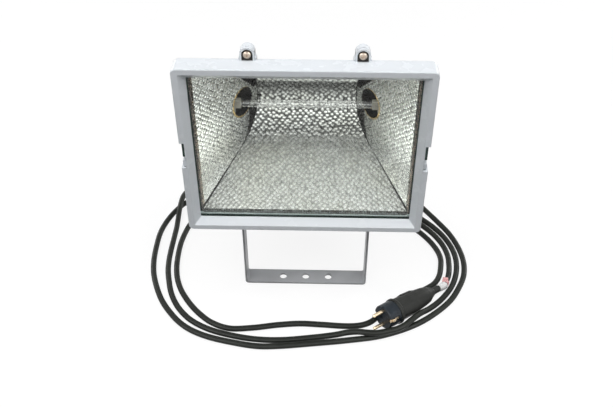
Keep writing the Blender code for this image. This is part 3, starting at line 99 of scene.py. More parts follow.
class Shader:
    """A node material with one Principled shader and short calls for what feeds it."""

    def __init__(self, name, colour, roughness, metallic=0.0, specular=0.5):
        self.material = bpy.data.materials.new(name)
        self.material.use_nodes = True
        self.tree = self.material.node_tree
        self.shader = self.tree.nodes["Principled BSDF"]
        self.output = self.tree.nodes["Material Output"]
        self.set("Base Color", (*colour, 1.0))
        self.set("Roughness", roughness)
        self.set("Metallic", metallic)
        self.set("Specular IOR Level", specular)
        self.height = None
        self.normal = None

    def set(self, socket, value):
        self.shader.inputs[socket].default_value = value

    def node(self, kind, **inputs):
        item = self.tree.nodes.new("ShaderNode" + kind)
        for key, value in inputs.items():
            item.inputs[key.replace("_", " ")].default_value = value
        return item

    def link(self, source, target):
        self.tree.links.new(source, target)

    def place(self):
        """Object coordinates, in metres."""
        return self.node("TexCoord").outputs["Object"]

    def noise(self, scale, detail=2.0):
        item = self.node("TexNoise", Scale=scale, Detail=detail)
        self.link(self.place(), item.inputs["Vector"])
        return item.outputs["Fac"]

    def cells(self, scale, random):
        """Distance to the nearest middle of many small cells."""
        item = self.node("TexVoronoi", Scale=scale, Randomness=random)
        self.link(self.place(), item.inputs["Vector"])
        return item.outputs["Distance"]

    def spread(self, value, low, high, to_low, to_high):
        """The value carried from one range to another, clamped."""
        item = self.node("MapRange", From_Min=low, From_Max=high, To_Min=to_low, To_Max=to_high)
        self.link(value, item.inputs["Value"])
        return item

    def fit(self, value, low, high, to_low=0.0, to_high=1.0):
        """The same with soft ends."""
        item = self.spread(value, low, high, to_low, to_high)
        item.interpolation_type = "SMOOTHSTEP"
        return item.outputs["Result"]

    def product(self, first, *others):
        for other in others:
            first = self.math("MULTIPLY", first, other)
        return first

    def length(self, first, *others):
        """Length of a vector from its parts."""
        total = self.math("MULTIPLY", first, first)
        for part in others:
            total = self.math("ADD", total, self.math("MULTIPLY", part, part))
        return self.math("SQRT", total)

    def math(self, operation, a, b=None, clamp=False):
        item = self.node("Math")
        item.operation = operation
        item.use_clamp = clamp
        for index, value in enumerate((a, b)):
            if value is None:
                continue
            if isinstance(value, (int, float)):
                item.inputs[index].default_value = value
            else:
                self.link(value, item.inputs[index])
        return item.outputs["Value"]

    def mix(self, factor, a, b):
        item = self.node("Mix")
        item.data_type = "RGBA"
        for index, value in ((0, factor), (6, a), (7, b)):
            if isinstance(value, tuple):
                item.inputs[index].default_value = (*value, 1.0)
            elif isinstance(value, float):
                item.inputs[index].default_value = value
            else:
                self.link(value, item.inputs[index])
        return item.outputs[2]

    def colour(self, source):
        self.link(source, self.shader.inputs["Base Color"])

    def roughness(self, source):
        self.link(source, self.shader.inputs["Roughness"])

    def bump(self, height, distance):
        item = self.node("Bump", Strength=1.0, Distance=distance)
        self.link(height, item.inputs["Height"])
        if self.normal is not None:
            self.link(self.normal, item.inputs["Normal"])
        self.normal = item.outputs["Normal"]
        self.link(self.normal, self.shader.inputs["Normal"])

    def soften_edges(self, radius):
        item = self.node("Bevel", Radius=radius)
        item.samples = EDGE_SAMPLES
        self.normal = item.outputs["Normal"]
        self.link(self.normal, self.shader.inputs["Normal"])

    def split(self, vector=None):
        item = self.node("SeparateXYZ")
        self.link(vector or self.place(), item.inputs["Vector"])
        return item.outputs


# Materials

def tinted(colour, share):
    return tuple(min(1.0, value * share) for value in colour)


COAT_COLOUR = (0.730, 0.765, 0.800)
# Colour of the painted shade in the frame's screw pockets and inside the housing's cup.
COAT_PAINTED_SHADE = (0.030, 0.026, 0.022)
COAT_PATCH = 0.006


def coat(name, colour, roughness, shade_mask):
    """Glossy powder coat with a slight orange peel; painted shade darkens the hollows that its shade mask picks
    out.
    """
    s = Shader(name, colour, roughness, specular=0.3)
    s.soften_edges(0.0006)
    cloud = s.fit(s.noise(9.0, detail=3.0), 0.3, 0.7)
    coat_tone = s.mix(cloud, tinted(colour, 1.0 - COAT_PATCH), tinted(colour, 1.0 + COAT_PATCH * 0.5))
    # Painted shade: where the mask is 1, the coat takes the shade colour.
    s.colour(s.mix(shade_mask(s), coat_tone, COAT_PAINTED_SHADE))
    s.roughness(s.fit(s.noise(60.0, detail=3.0), 0.3, 0.7, roughness - 0.01, roughness + 0.02))
    s.bump(s.noise(620.0, detail=1.0), 0.00001)
    return s.material


HOOD_X = 62.5
HOOD_ARCH_Z = 383.5
POCKET_LOW = 376.0
POCKET_R = 6.3


def hood_pocket_shade(s):
    """Painted shade in the pocket round each frame screw: a mask that is 1 inside the pocket."""
    x, y, z = s.split()
    dx = s.math("SUBTRACT", s.math("ABSOLUTE", x), HOOD_X * MM)
    dz = s.math("MAXIMUM", s.math("SUBTRACT", z, HOOD_ARCH_Z * MM), 0.0)
    near = s.fit(s.length(dx, dz), (POCKET_R - 0.15) * MM, (POCKET_R + 0.15) * MM, 1.0, 0.0)
    deep = s.fit(y, -60.7 * MM, -59.6 * MM)
    before = s.fit(y, -58.7 * MM, -58.5 * MM, 1.0, 0.0)
    above = s.fit(z, (POCKET_LOW - 0.2) * MM, (POCKET_LOW + 0.2) * MM)
    return s.product(near, deep, before, above)


CUP_MIDDLE = (0.0, -0.01, 0.255)
CUP_HALF_X = 0.1300
CUP_REAR = 0.051


def housing_inside_shade(s):
    """Painted shade on the inner side of the cast cup: a mask that is 1 on its inward faces."""
    coordinates = s.node("TexCoord")
    shift = s.node("VectorMath")
    shift.operation = "SUBTRACT"
    s.link(coordinates.outputs["Object"], shift.inputs[0])
    shift.inputs[1].default_value = CUP_MIDDLE
    dot = s.node("VectorMath")
    dot.operation = "DOT_PRODUCT"
    s.link(shift.outputs["Vector"], dot.inputs[0])
    s.link(coordinates.outputs["Normal"], dot.inputs[1])
    inward = s.fit(dot.outputs["Value"], -0.004, 0.0, 1.0, 0.0)
    x, y, _ = s.split()
    within = s.fit(s.math("ABSOLUTE", x), CUP_HALF_X, CUP_HALF_X + 0.0005, 1.0, 0.0)
    before = s.fit(y, CUP_REAR, CUP_REAR + 0.0008, 1.0, 0.0)
    return s.product(inward, within, before)


def bracket_paint():
    colour = (0.440, 0.450, 0.465)
    s = Shader("bracket_coat", colour, 0.42)
    s.soften_edges(0.0005)
    cloud = s.noise(14.0, detail=4.0)
    s.colour(s.mix(s.fit(cloud, 0.3, 0.7), tinted(colour, 0.86), tinted(colour, 1.12)))
    s.roughness(s.fit(s.noise(80.0, detail=3.0), 0.3, 0.7, 0.34, 0.52))
    s.bump(s.noise(900.0, detail=2.0), 0.00005)
    return s.material


def worked_metal(name, colour, roughness):
    """Bare metal with fine working marks."""
    s = Shader(name, colour, roughness, metallic=1.0)
    s.soften_edges(0.00025)
    marks = s.noise(500.0, detail=4.0)
    s.colour(s.mix(s.fit(marks, 0.25, 0.75), tinted(colour, 0.88), tinted(colour, 1.12)))
    s.roughness(s.fit(marks, 0.3, 0.7, roughness - 0.08, roughness + 0.12))
    s.bump(marks, 0.00003)
    return s.material


HOLE_AT = (82.1 * MM, 20.0 * MM, 273.0 * MM)
HOLE_RIM = 19.0 * MM
CURVE_AT = (-25.0 * MM, 271.0 * MM)
CURVE_R = 72.0 * MM
FOLD_AT = (12.5 * MM, 209.5 * MM)
FOLD_ANGLE = math.radians(-58.6)
FLAT_RUN = (-0.8535, -0.5211)
FLAT_TOP = CURVE_AT[1] - 0.03
PANEL_STRETCH = 1.173
BEAD_SCALE = 205.0
BEAD_REACH = 1.65
ROW_SLANT = math.radians(41.0)


def sheet_coordinates(s):
    """Across and along the main sheet, its curve unrolled."""
    x, y, z = s.split()
    dy = s.math("SUBTRACT", y, CURVE_AT[0])
    dz = s.math("SUBTRACT", z, CURVE_AT[1])
    angle = s.math("ARCTAN2", dz, dy)
    curved = s.math("MULTIPLY", s.math("SUBTRACT", angle, FOLD_ANGLE), CURVE_R)
    run_y = s.math("MULTIPLY", s.math("SUBTRACT", y, FOLD_AT[0]), FLAT_RUN[0])
    run_z = s.math("MULTIPLY", s.math("SUBTRACT", z, FOLD_AT[1]), FLAT_RUN[1])
    run = s.math("ADD", run_y, run_z)
    on_flat = s.product(s.math("GREATER_THAN", run, 0.0), s.math("LESS_THAN", z, FLAT_TOP))
    along = s.math("SUBTRACT", s.math("MULTIPLY", s.math("SUBTRACT", 1.0, on_flat), curved),
                   s.math("MULTIPLY", on_flat, run))
    return x, along


def panel_coordinates(s):
    """Along and up a side panel."""
    _, y, z = s.split()
    return s.math("MULTIPLY", y, PANEL_STRETCH), z


def beads(s, across, along, random):
    """Round beads side by side in slanting rows; gives each one's height from 0 to 1 and its own chance value."""
    joined = s.node("CombineXYZ")
    s.link(across, joined.inputs["X"])
    s.link(along, joined.inputs["Y"])
    turned = s.node("Mapping", Rotation=(0.0, 0.0, ROW_SLANT))
    s.link(joined.outputs["Vector"], turned.inputs["Vector"])
    item = s.node("TexVoronoi", Scale=BEAD_SCALE, Randomness=random)
    item.voronoi_dimensions = "2D"
    s.link(turned.outputs["Vector"], item.inputs["Vector"])
    reach = s.math("MULTIPLY", item.outputs["Distance"], BEAD_REACH)
    height = s.math("SUBTRACT", 1.0, s.math("MULTIPLY", reach, reach), clamp=True)
    tone = s.node("SeparateColor")
    s.link(item.outputs["Color"], tone.inputs["Color"])
    return height, tone.outputs["Red"]


def stops(s, value, points):
    """A value that follows a few stops, straight between them."""
    low = points[0][0]
    high = points[-1][0]
    item = s.node("FloatCurve")
    curve = item.mapping.curves[0]
    curve.points[0].location = (0.0, points[0][1])
    curve.points[1].location = (1.0, points[-1][1])
    for at, level in points[1:-1]:
        curve.points.new((at - low) / (high - low), level)
    for point in curve.points:
        point.handle_type = "VECTOR"
    item.mapping.update()
    share = s.spread(value, low, high, 0.0, 1.0)
    s.link(share.outputs["Result"], item.inputs["Value"])
    return item.outputs["Value"]


def hammered(name, panel):
    """Hammered aluminium: beads in rows, with painted light and shade along the sheet and up the panels, painted
    shade between the beads and painted shadow in the seams.
    """
    s = Shader(name, (0.9, 0.9, 0.87), 0.2, metallic=0.9)
    x, y, z = s.split()
    # The shade stops paint light and shade into the metal's colour: darker where it mirrors dark surroundings,
    # brighter where it mirrors bright ones.
    if panel:
        across, along = panel_coordinates(s)
        height, chance = beads(s, across, along, random=0.35)
        shade = stops(s, z, PANEL_SHADE)
        groove_shade = stops(s, z, PANEL_GROOVE_SHADE)
        relief = stops(s, z, PANEL_RELIEF)
    else:
        across, along = sheet_coordinates(s)
        height, chance = beads(s, across, along, random=0.5)
        shade = stops(s, along, SHEET_SHADE)
        groove_shade = stops(s, along, SHEET_GROOVE_SHADE)
        relief = stops(s, along, SHEET_RELIEF)
    s.bump(s.math("MULTIPLY", height, relief), BEAD_HEIGHT)
    s.bump(s.noise(900.0, detail=2.0), 0.00002)
    shade = s.math("MULTIPLY", shade, s.fit(chance, 0.0, 1.0, 0.86, 1.1))
    low, high = (0.0, 0.55) if panel else (0.25, 0.98)
    # Painted shade in the grooves between the beads.
    between = s.fit(height, low, high, 1.0, 0.0)
    shade = s.math("MULTIPLY", shade, s.math("SUBTRACT", 1.0, s.math("MULTIPLY", between, groove_shade)))
    cloud = s.fit(s.noise(22.0, detail=4.0), 0.35, 0.7)
    tone = s.mix(cloud, (0.99, 1.0, 0.98), (0.975, 0.98, 0.93))
    grey = s.node("CombineColor")
    for socket in ("Red", "Green", "Blue"):
        s.link(shade, grey.inputs[socket])
    scaled = s.node("Mix")
    scaled.data_type = "RGBA"
    scaled.blend_type = "MULTIPLY"
    scaled.inputs[0].default_value = 1.0
    s.link(tone, scaled.inputs[6])
    s.link(grey.outputs["Color"], scaled.inputs[7])
    colour = scaled.outputs[2]
    if panel:
        side = s.math("SUBTRACT", s.math("ABSOLUTE", x), HOLE_AT[0])
        depth = s.math("SUBTRACT", y, HOLE_AT[1])
        rise = s.math("SUBTRACT", z, HOLE_AT[2])
        rim = s.fit(s.length(side, depth, rise), HOLE_RIM + 0.8 * MM, HOLE_RIM + 1.8 * MM, 1.0, 0.0)
        colour = s.mix(rim, colour, RIM_GOLD)
        # Painted shadow in the gaps along the panel's rear edge.
        colour = s.mix(seam_shadow(s, y, z), colour, SEAM_SHADOW_COLOUR)
    edge, thread = (PANEL_FRONT, BRAID_BROWN) if panel else (SHEET_FRONT, BRAID_GREY)
    braid = s.fit(y, edge * MM, (edge + 0.3) * MM, 1.0, 0.0)
    bead = s.fit(s.cells(BRAID_SCALE, BRAID_RANDOM), 0.1, 0.55)
    s.colour(s.mix(braid, colour, s.mix(bead, thread, BRAID_DARK)))
    s.roughness(s.fit(s.noise(300.0, detail=2.0), 0.3, 0.7, 0.18, 0.30))
    return s.material


def beyond(s, y, z, start, end, soft):
    """1 on one side of the line from start to end, in depth and height, 0 on the other, soft between them."""
    run = (end[0] - start[0], end[1] - start[1])
    size = math.hypot(*run)
    a = s.math("MULTIPLY", s.math("SUBTRACT", y, start[0] * MM), run[1] / size)
    b = s.math("MULTIPLY", s.math("SUBTRACT", z, start[1] * MM), run[0] / size)
    return s.fit(s.math("SUBTRACT", a, b), 0.0, soft * MM)


def seam_shadow(s, y, z):
    """Painted shadow of the gaps along the rear edge of a side panel: a wedge under the lamp's hole, a band over
    it.
    """
    dy = s.math("SUBTRACT", y, CURVE_AT[0])
    dz = s.math("SUBTRACT", z, CURVE_AT[1])
    depth = s.math("SUBTRACT", CURVE_R, s.length(dy, dz))
    width = s.spread(z, *[value * MM for value in SEAM_WEDGE])
    low = s.fit(s.math("SUBTRACT", depth, width.outputs["Result"]), -0.8 * MM, 0.0, 1.0, 0.0)
    under_hole = s.fit(z, 256.5 * MM, 258.0 * MM, 1.0, 0.0)
    low = s.product(low, under_hole, s.math("GREATER_THAN", z, FOLD_AT[1]))
    top = beyond(s, y, z, *SEAM_TOP, 1.0)
    high = s.math("MULTIPLY", s.math("SUBTRACT", 1.0, top), s.fit(z, 281.0 * MM, 284.0 * MM))
    return s.math("MAXIMUM", low, high)


SEAM_WEDGE = (211.0, 258.5, 0.6, 17.0)
SEAM_TOP = ((17.8, 308.0), (39.0, 284.0))
SEAM_SHADOW_COLOUR = (0.012, 0.010, 0.008)
RIM_GOLD = (0.86, 0.62, 0.27)
PANEL_FRONT = -56.9
SHEET_FRONT = -59.6
BRAID_SCALE = 330.0
BRAID_RANDOM = 0.35
BRAID_BROWN = (0.42, 0.33, 0.25)
BRAID_GREY = (0.40, 0.45, 0.45)
BRAID_DARK = (0.03, 0.028, 0.024)
BEAD_HEIGHT = 0.0006
# Painted light and shade on the reflector: the shade stops scale the metal's colour along the sheet and up the
# panels, and the groove shade stops darken the grooves between the beads.
SHEET_SHADE = ((-0.090, 1.00), (-0.060, 1.00), (-0.030, 0.90), (-0.006, 0.60), (0.004, 0.46), (0.017, 0.33),
               (0.027, 0.27), (0.037, 0.35), (0.047, 0.50), (0.058, 0.76), (0.068, 0.80), (0.075, 0.46),
               (0.082, 0.25), (0.089, 0.20), (0.093, 0.90), (0.150, 1.00))
SHEET_GROOVE_SHADE = ((-0.090, 0.36), (-0.030, 0.40), (-0.006, 0.36), (0.012, 0.45), (0.025, 0.80), (0.066, 0.88),
                (0.080, 0.60), (0.089, 0.50), (0.093, 0.10), (0.150, 0.10))
SHEET_RELIEF = ((-0.090, 0.45), (-0.010, 0.45), (0.015, 0.70), (0.035, 1.0), (0.150, 1.0))
PANEL_SHADE = ((0.165, 0.42), (0.200, 0.31), (0.225, 0.33), (0.250, 0.62), (0.280, 1.00), (0.360, 1.00))
PANEL_GROOVE_SHADE = ((0.165, 0.45), (0.200, 0.35), (0.240, 0.50), (0.290, 0.70), (0.360, 0.65))
PANEL_RELIEF = ((0.165, 0.50), (0.240, 0.50), (0.300, 0.70), (0.360, 0.70))


PANE_MIRROR = 0.3


def clear(name, colour, edge_colour=None, ior=1.45):
    """Clear glass that lets the lamps' light through; a pane's faces are thin and only its edge is solid."""
    s = Shader(name, colour, 0.0)
    s.set("Transmission Weight", 1.0)
    s.set("IOR", ior)
    passes = s.node("BsdfTransparent")
    passes.inputs["Color"].default_value = (*tinted(colour, 0.99), 1.0)
    solid = s.shader.outputs["BSDF"]
    if edge_colour:
        coordinates = s.node("TexCoord")
        facing = s.split(coordinates.outputs["Normal"])[1]
        flat = s.fit(s.math("ABSOLUTE", facing), 0.5, 0.9)
        s.colour(s.mix(flat, edge_colour, colour))
        fresnel = s.node("Fresnel", IOR=ior)
        mirror = s.node("BsdfAnisotropic", Roughness=0.02)
        pane = s.node("MixShader")
        s.link(s.math("MULTIPLY", fresnel.outputs["Fac"], PANE_MIRROR), pane.inputs["Fac"])
        s.link(passes.outputs["BSDF"], pane.inputs[1])
        s.link(mirror.outputs["BSDF"], pane.inputs[2])
        body = s.node("MixShader")
        s.link(flat, body.inputs["Fac"])
        s.link(solid, body.inputs[1])
        s.link(pane.outputs["Shader"], body.inputs[2])
        solid = body.outputs["Shader"]
    s.bump(s.noise(30.0, detail=3.0), 0.00001)
    path = s.node("LightPath")
    mix = s.node("MixShader")
    unseen = s.math("MAXIMUM", path.outputs["Is Shadow Ray"], path.outputs["Is Diffuse Ray"])
    s.link(unseen, mix.inputs["Fac"])
    s.link(solid, mix.inputs[1])
    s.link(passes.outputs["BSDF"], mix.inputs[2])
    s.link(mix.outputs["Shader"], s.output.inputs["Surface"])
    return s.material


def ceramic():
    colour = (0.80, 0.77, 0.70)
    s = Shader("ceramic", colour, 0.55)
    s.soften_edges(0.0004)
    cloud = s.fit(s.noise(160.0, detail=4.0), 0.35, 0.65)
    s.colour(s.mix(cloud, tinted(colour, 0.88), tinted(colour, 1.06)))
    s.bump(s.noise(1500.0, detail=3.0), 0.00006)
    return s.material


def rubber(name, colour, roughness, grain=0.00005, dust=0.35):
    """Dull black rubber or plastic with a little dust."""
    s = Shader(name, colour, roughness, specular=0.2)
    s.soften_edges(0.0005)
    worn = s.fit(s.noise(45.0, detail=5.0), 0.4, 0.75)
    s.colour(s.mix(worn, colour, tinted(colour, 1.0 + dust)))
    s.roughness(s.fit(s.noise(120.0, detail=3.0), 0.3, 0.7, roughness - 0.08, roughness + 0.1))
    s.bump(s.noise(1600.0, detail=3.0), grain)
    return s.material


FRAME_HALF_X = 144.0
FRAME_LOW = 148.0
GLASS_EDGE_SHADE = (0.004, 0.022, 0.018)
GLASS_TEAL = (0.86, 0.97, 0.97)


def braided():
    """Woven seal behind the glass: brown beads at the sides, grey beads and a pale teal strip at the foot, and a
    dark green line of painted shade beside the glass's edge.
    """
    dark = (0.022, 0.020, 0.018)
    s = Shader("gasket", dark, 0.8)
    x, y, z = s.split()
    bead = s.cells(BRAID_SCALE, BRAID_RANDOM)
    thread = s.fit(bead, 0.1, 0.55)
    brown = s.mix(thread, (0.34, 0.27, 0.21), dark)
    grey = s.mix(thread, (0.30, 0.33, 0.32), (0.03, 0.035, 0.033))
    inset = s.math("SUBTRACT", FRAME_HALF_X * MM, s.math("ABSOLUTE", x))
    line = s.fit(inset, 15.2 * MM, 15.6 * MM, 1.0, 0.0)
    # Painted shade: a dark green line on the seal's outer strip at the sides and below the teal strip at the foot.
    sides = s.mix(line, brown, GLASS_EDGE_SHADE)
    rise = s.math("SUBTRACT", z, FRAME_LOW * MM)
    front = s.fit(y, -65.95 * MM, -65.8 * MM, 1.0, 0.0)
    teal = s.mix(s.fit(rise, 14.4 * MM, 14.8 * MM), GLASS_EDGE_SHADE, GLASS_TEAL)
    foot = s.mix(front, grey, teal)
    low = s.fit(rise, 18.0 * MM, 19.0 * MM, 1.0, 0.0)
    s.colour(s.mix(low, sides, foot))
    s.bump(s.math("SUBTRACT", 1.0, bead), 0.0005)
    return s.material


def sleeving():
    colour = (0.74, 0.71, 0.62)
    s = Shader("lead_sleeving", colour, 0.8)
    weave = s.cells(900.0, 0.3)
    s.colour(s.mix(s.fit(weave, 0.1, 0.6), tinted(colour, 1.1), tinted(colour, 0.7)))
    s.bump(s.math("SUBTRACT", 1.0, weave), 0.0002)
    return s.material


def paper(name, colour):
    s = Shader(name, colour, 0.6)
    s.colour(s.mix(s.fit(s.noise(220.0, detail=5.0), 0.35, 0.7), tinted(colour, 0.9), tinted(colour, 1.04)))
    s.bump(s.noise(2500.0, detail=2.0), 0.00002)
    return s.material


def make_materials():
    return {
        "frame_coat": coat("frame_coat", COAT_COLOUR, 0.26, hood_pocket_shade),
        "housing_coat": coat("housing_coat", COAT_COLOUR, 0.28, housing_inside_shade),
        "bracket_coat": bracket_paint(),
        "steel": worked_metal("steel", (0.62, 0.61, 0.58), 0.3),
        "screw_steel": worked_metal("screw_steel", (0.50, 0.42, 0.35), 0.32),
        "reflector": hammered("reflector", False),
        "reflector_side": hammered("reflector_side", True),
        "glass": clear("glass", (0.985, 0.995, 0.985), (0.10, 0.42, 0.34)),
        "quartz": clear("quartz", (0.99, 0.99, 0.99), ior=1.4),
        "ceramic": ceramic(),
        "tungsten": worked_metal("tungsten", (0.36, 0.36, 0.37), 0.35),
        "gasket": braided(),
        "spring_steel": worked_metal("spring_steel", (0.70, 0.70, 0.71), 0.25),
        "brass": worked_metal("brass", (0.74, 0.60, 0.42), 0.28),
        "cord_rubber": rubber("cord_rubber", (0.012, 0.014, 0.011), 0.42, dust=0.6),
        "boot_rubber": rubber("boot_rubber", (0.028, 0.028, 0.028), 0.5),
        "gland_plastic": rubber("gland_plastic", (0.045, 0.045, 0.046), 0.4),
        "plug_rubber": rubber("plug_rubber", (0.017, 0.018, 0.016), 0.46),
        "insert_plastic": rubber("insert_plastic", (0.012, 0.017, 0.023), 0.32, grain=0.00002),
        "lead_sleeving": sleeving(),
        "label_paper": paper("label_paper", (0.86, 0.86, 0.85)),
        "tag_paper": paper("tag_paper", (0.80, 0.42, 0.42)),
    }


def dress(materials):
    """Gives each CAD node its material; the side panels have their own."""
    slots = {entry["node"]: entry["material_slot"] for entry in frame["record"]["subparts"]}
    for name, item in nodes.items():
        item.data.materials.clear()
        slot = "reflector_side" if name.startswith("reflector_side") else slots[name]
        item.data.materials.append(materials[slot])


# Cord, on the same route as its solids

CORD_R = 4.0
CORD_Z = 4.0
GAP = 0.3
BOOT_LOW = 139.7
GLAND_Y = 62.6
PLUG_TIP = (91.0, -117.3, 22.4)
PLUG_TURN = math.radians(39.0)
PLUG_TILT = math.radians(6.0)
PLUG_END = 121.0
SLEEVE_RUN = 13.0
CORD_SIDES = 16
CORD_STEP = 0.003
KNOT_STEPS = 24


def smooth_path(knots):
    """A smooth curve through the knots, as many points."""
    points = [Vector(knot) for knot in knots]
    ends = [points[0] * 2.0 - points[1]] + points + [points[-1] * 2.0 - points[-2]]
    path = []
    for i in range(1, len(ends) - 2):
        p0, p1, p2, p3 = ends[i - 1], ends[i], ends[i + 1], ends[i + 2]
        t1 = math.sqrt(max((p1 - p0).length, 1e-6))
        t2 = math.sqrt(max((p2 - p1).length, 1e-6))
        t3 = math.sqrt(max((p3 - p2).length, 1e-6))
        m1 = (p2 - p1) + ((p1 - p0) / t1 - (p2 - p0) / (t1 + t2)) * t2
        m2 = (p2 - p1) + ((p3 - p2) / t3 - (p3 - p1) / (t2 + t3)) * t2
        for k in range(KNOT_STEPS):
            t = k / KNOT_STEPS
            a = 2 * t ** 3 - 3 * t ** 2 + 1
            b = t ** 3 - 2 * t ** 2 + t
            c = -2 * t ** 3 + 3 * t ** 2
            d = t ** 3 - t ** 2
            path.append(p1 * a + m1 * b + p2 * c + m2 * d)
    path.append(points[-1])
    return path


def even(path, step):
    """Points at even steps along the path, with both its ends."""
    total = sum((b - a).length for a, b in zip(path, path[1:]))
    count = int(total / step) + 1
    step = total / (count - 1)
    picked = [path[0]]
    walked = 0.0
    for a, b in zip(path, path[1:]):
        length = (b - a).length
        while length > 0.0 and walked + length >= step * len(picked) and len(picked) < count - 1:
            picked.append(a.lerp(b, (step * len(picked) - walked) / length))
        walked += length
    picked.append(path[-1])
    return picked


def plug_axis():
    level = math.cos(PLUG_TILT)
    return Vector((math.cos(PLUG_TURN) * level, math.sin(PLUG_TURN) * level, -math.sin(PLUG_TILT)))


def plug_point(distance):
    return Vector(PLUG_TIP) + plug_axis() * distance


def cord_knots():
    """The route, in millimetres: down from the gland, three turns on the floor, and up to the plug."""
    top = BOOT_LOW - GAP
    y = GLAND_Y
    low = CORD_Z
    over = CORD_Z + 9.4
    lead = [
        (0.0, y, top), (0.0, y, top - 8.0), (0.5, y + 2.0, top - 24.0), (3.0, y + 8.0, top - 40.0),
        (8.0, y + 20.0, top - 58.0), (15.0, y + 39.0, top - 76.0), (24.0, y + 64.0, top - 94.0),
        (34.0, y + 91.0, top - 109.0), (45.0, y + 116.0, top - 118.5), (57.0, y + 139.0, top - 125.5),
        (70.0, y + 155.0, top - 130.5), (85.0, y + 163.5, top - 134.2), (103.0, 223.4, low),
    ]
    outer = [
        (121.0, 214.6, low), (137.0, 203.0, low), (158.0, 176.0, low), (181.0, 139.0, low), (201.5, 105.0, low),
        (215.3, 79.3, low), (225.4, 48.0, low), (229.0, 18.0, low), (225.6, -9.0, low), (215.2, -34.4, low),
        (200.0, -59.4, low), (170.0, -88.7, low), (141.5, -107.5, low), (101.0, -124.0, low), (60.5, -132.0, low),
        (10.0, -139.0, low), (-31.0, -144.0, low), (-60.0, -145.0, low), (-95.0, -139.0, low),
        (-128.0, -130.0, low), (-152.0, -118.5, low), (-168.5, -105.5, low), (-184.0, -87.5, low),
        (-196.5, -69.0, low), (-207.0, -47.0, low), (-217.0, -18.0, low), (-222.0, 10.0, low),
        (-223.5, 42.0, low), (-222.5, 72.0, low), (-217.5, 96.0, low), (-209.0, 119.0, low),
    ]
    first_back = [
        (-196.0, 141.0, low), (-176.0, 160.0, low), (-146.0, 172.0, low), (-110.0, 174.0, low), (-72.0, 167.0, low),
        (-30.0, 155.0, low), (15.0, 146.0, low), (60.0, 138.0, low), (103.0, 127.5, low), (138.0, 112.0, low),
        (163.0, 91.0, low),
    ]
    inner = [
        (182.0, 66.0, low), (192.5, 44.0, low), (196.3, 26.0, low), (194.8, 8.0, low), (190.0, -12.0, low),
        (182.0, -26.0, low), (169.5, -36.5, low), (155.5, -46.0, low), (141.0, -54.8, low), (127.5, -63.8, low),
        (115.0, -72.6, low), (106.0, -80.5, low), (100.5, -87.5, low), (95.5, -94.0, low), (89.0, -100.0, low),
        (81.0, -104.3, low), (71.0, -107.0, low), (55.0, -108.0, low), (21.0, -106.0, low), (-6.0, -105.0, low),
        (-35.0, -108.0, low), (-70.0, -114.0, low), (-100.0, -115.5, low), (-124.0, -106.0, low),
        (-140.0, -93.0, low), (-152.5, -79.5, low), (-164.5, -63.0, low), (-174.5, -45.5, low),
        (-182.5, -24.0, low), (-187.0, 0.0, low), (-188.5, 26.0, low), (-188.0, 50.0, low), (-185.0, 72.0, low),
        (-180.0, 92.0, low),
    ]
    second_back = [
        (-171.0, 110.0, low), (-155.0, 126.0, low), (-136.0, 139.0, low + 0.8), (-118.0, 149.5, over - 5.0),
        (-102.0, 159.5, over - 0.6), (-86.0, 170.0, over + 1.0), (-69.0, 179.0, over - 1.0),
        (-51.0, 186.0, over - 5.0), (-32.0, 191.5, low + 0.8), (-8.0, 195.5, low), (20.0, 196.5, low),
        (50.0, 193.5, low), (84.0, 184.0, low), (118.0, 166.0, low), (150.0, 141.0, low), (174.0, 115.5, low),
    ]
    middle = [
        (192.6, 94.2, low), (206.2, 72.2, low), (215.2, 48.0, low), (218.5, 24.0, low), (215.5, -4.0, low),
        (206.0, -31.0, low), (189.5, -55.5, low), (171.5, -74.5, low + 1.6), (154.5, -90.5, low + 7.2),
        (142.4, -104.2, low + 9.8), (134.4, -112.4, low + 10.0), (123.4, -119.4, low + 9.8),
        (109.4, -123.6, low + 9.4), (97.0, -126.8, low + 9.4), (85.0, -127.0, low + 9.7),
        (71.0, -124.2, low + 7.8), (57.0, -122.2, low + 3.6), (42.0, -123.8, low + 0.6), (10.0, -129.0, low),
        (-31.0, -134.0, low), (-65.0, -133.2, low), (-98.0, -127.0, low), (-127.0, -117.5, low),
        (-151.0, -103.5, low), (-165.5, -89.5, low), (-177.0, -73.5, low), (-187.0, -52.5, low),
        (-194.0, -28.0, low), (-198.5, -6.0, low), (-200.3, 16.0, low), (-200.5, 38.0, low), (-200.0, 64.0, low),
        (-199.6, 86.0, low + 0.6), (-199.5, 102.0, low + 4.2), (-199.3, 117.0, over - 1.0),
        (-199.0, 131.0, over + 0.5), (-198.2, 145.0, over + 0.3), (-196.5, 159.0, over - 3.0),
    ]
    third_back = [
        (-191.5, 176.0, low + 1.2), (-181.0, 192.0, low), (-163.0, 205.0, low), (-135.0, 213.5, low),
        (-100.0, 216.0, low), (-64.0, 213.5, low + 0.8), (-42.0, 209.5, over - 5.0), (-24.0, 204.5, over - 0.8),
        (-8.0, 199.5, over + 0.8), (8.0, 193.5, over + 0.8), (24.0, 186.5, over - 0.8), (42.0, 178.0, over - 5.0),
        (64.0, 168.5, low + 0.8), (94.0, 155.0, low), (126.0, 138.0, low), (155.0, 118.5, low), (175.0, 98.5, low),
    ]
    to_plug = [
        (191.5, 77.0, low), (202.6, 54.0, low), (207.5, 31.0, low), (207.2, 14.0, low), (205.6, -1.0, low + 0.4),
        (202.6, -14.0, low + 1.6), (198.6, -24.0, low + 3.0),
    ]
    tail = [tuple(plug_point(PLUG_END + SLEEVE_RUN)), tuple(plug_point(PLUG_END + GAP))]
    return lead + outer + first_back + inner + second_back + middle + third_back + to_plug + tail


def mesh_piece(name, points, faces, material):
    """A new mesh object in the scene."""
    mesh = bpy.data.meshes.new(name)
    mesh.from_pydata(points, [], faces)
    mesh.materials.append(material)
    item = bpy.data.objects.new(name, mesh)
    bpy.context.scene.collection.objects.link(item)
    return item


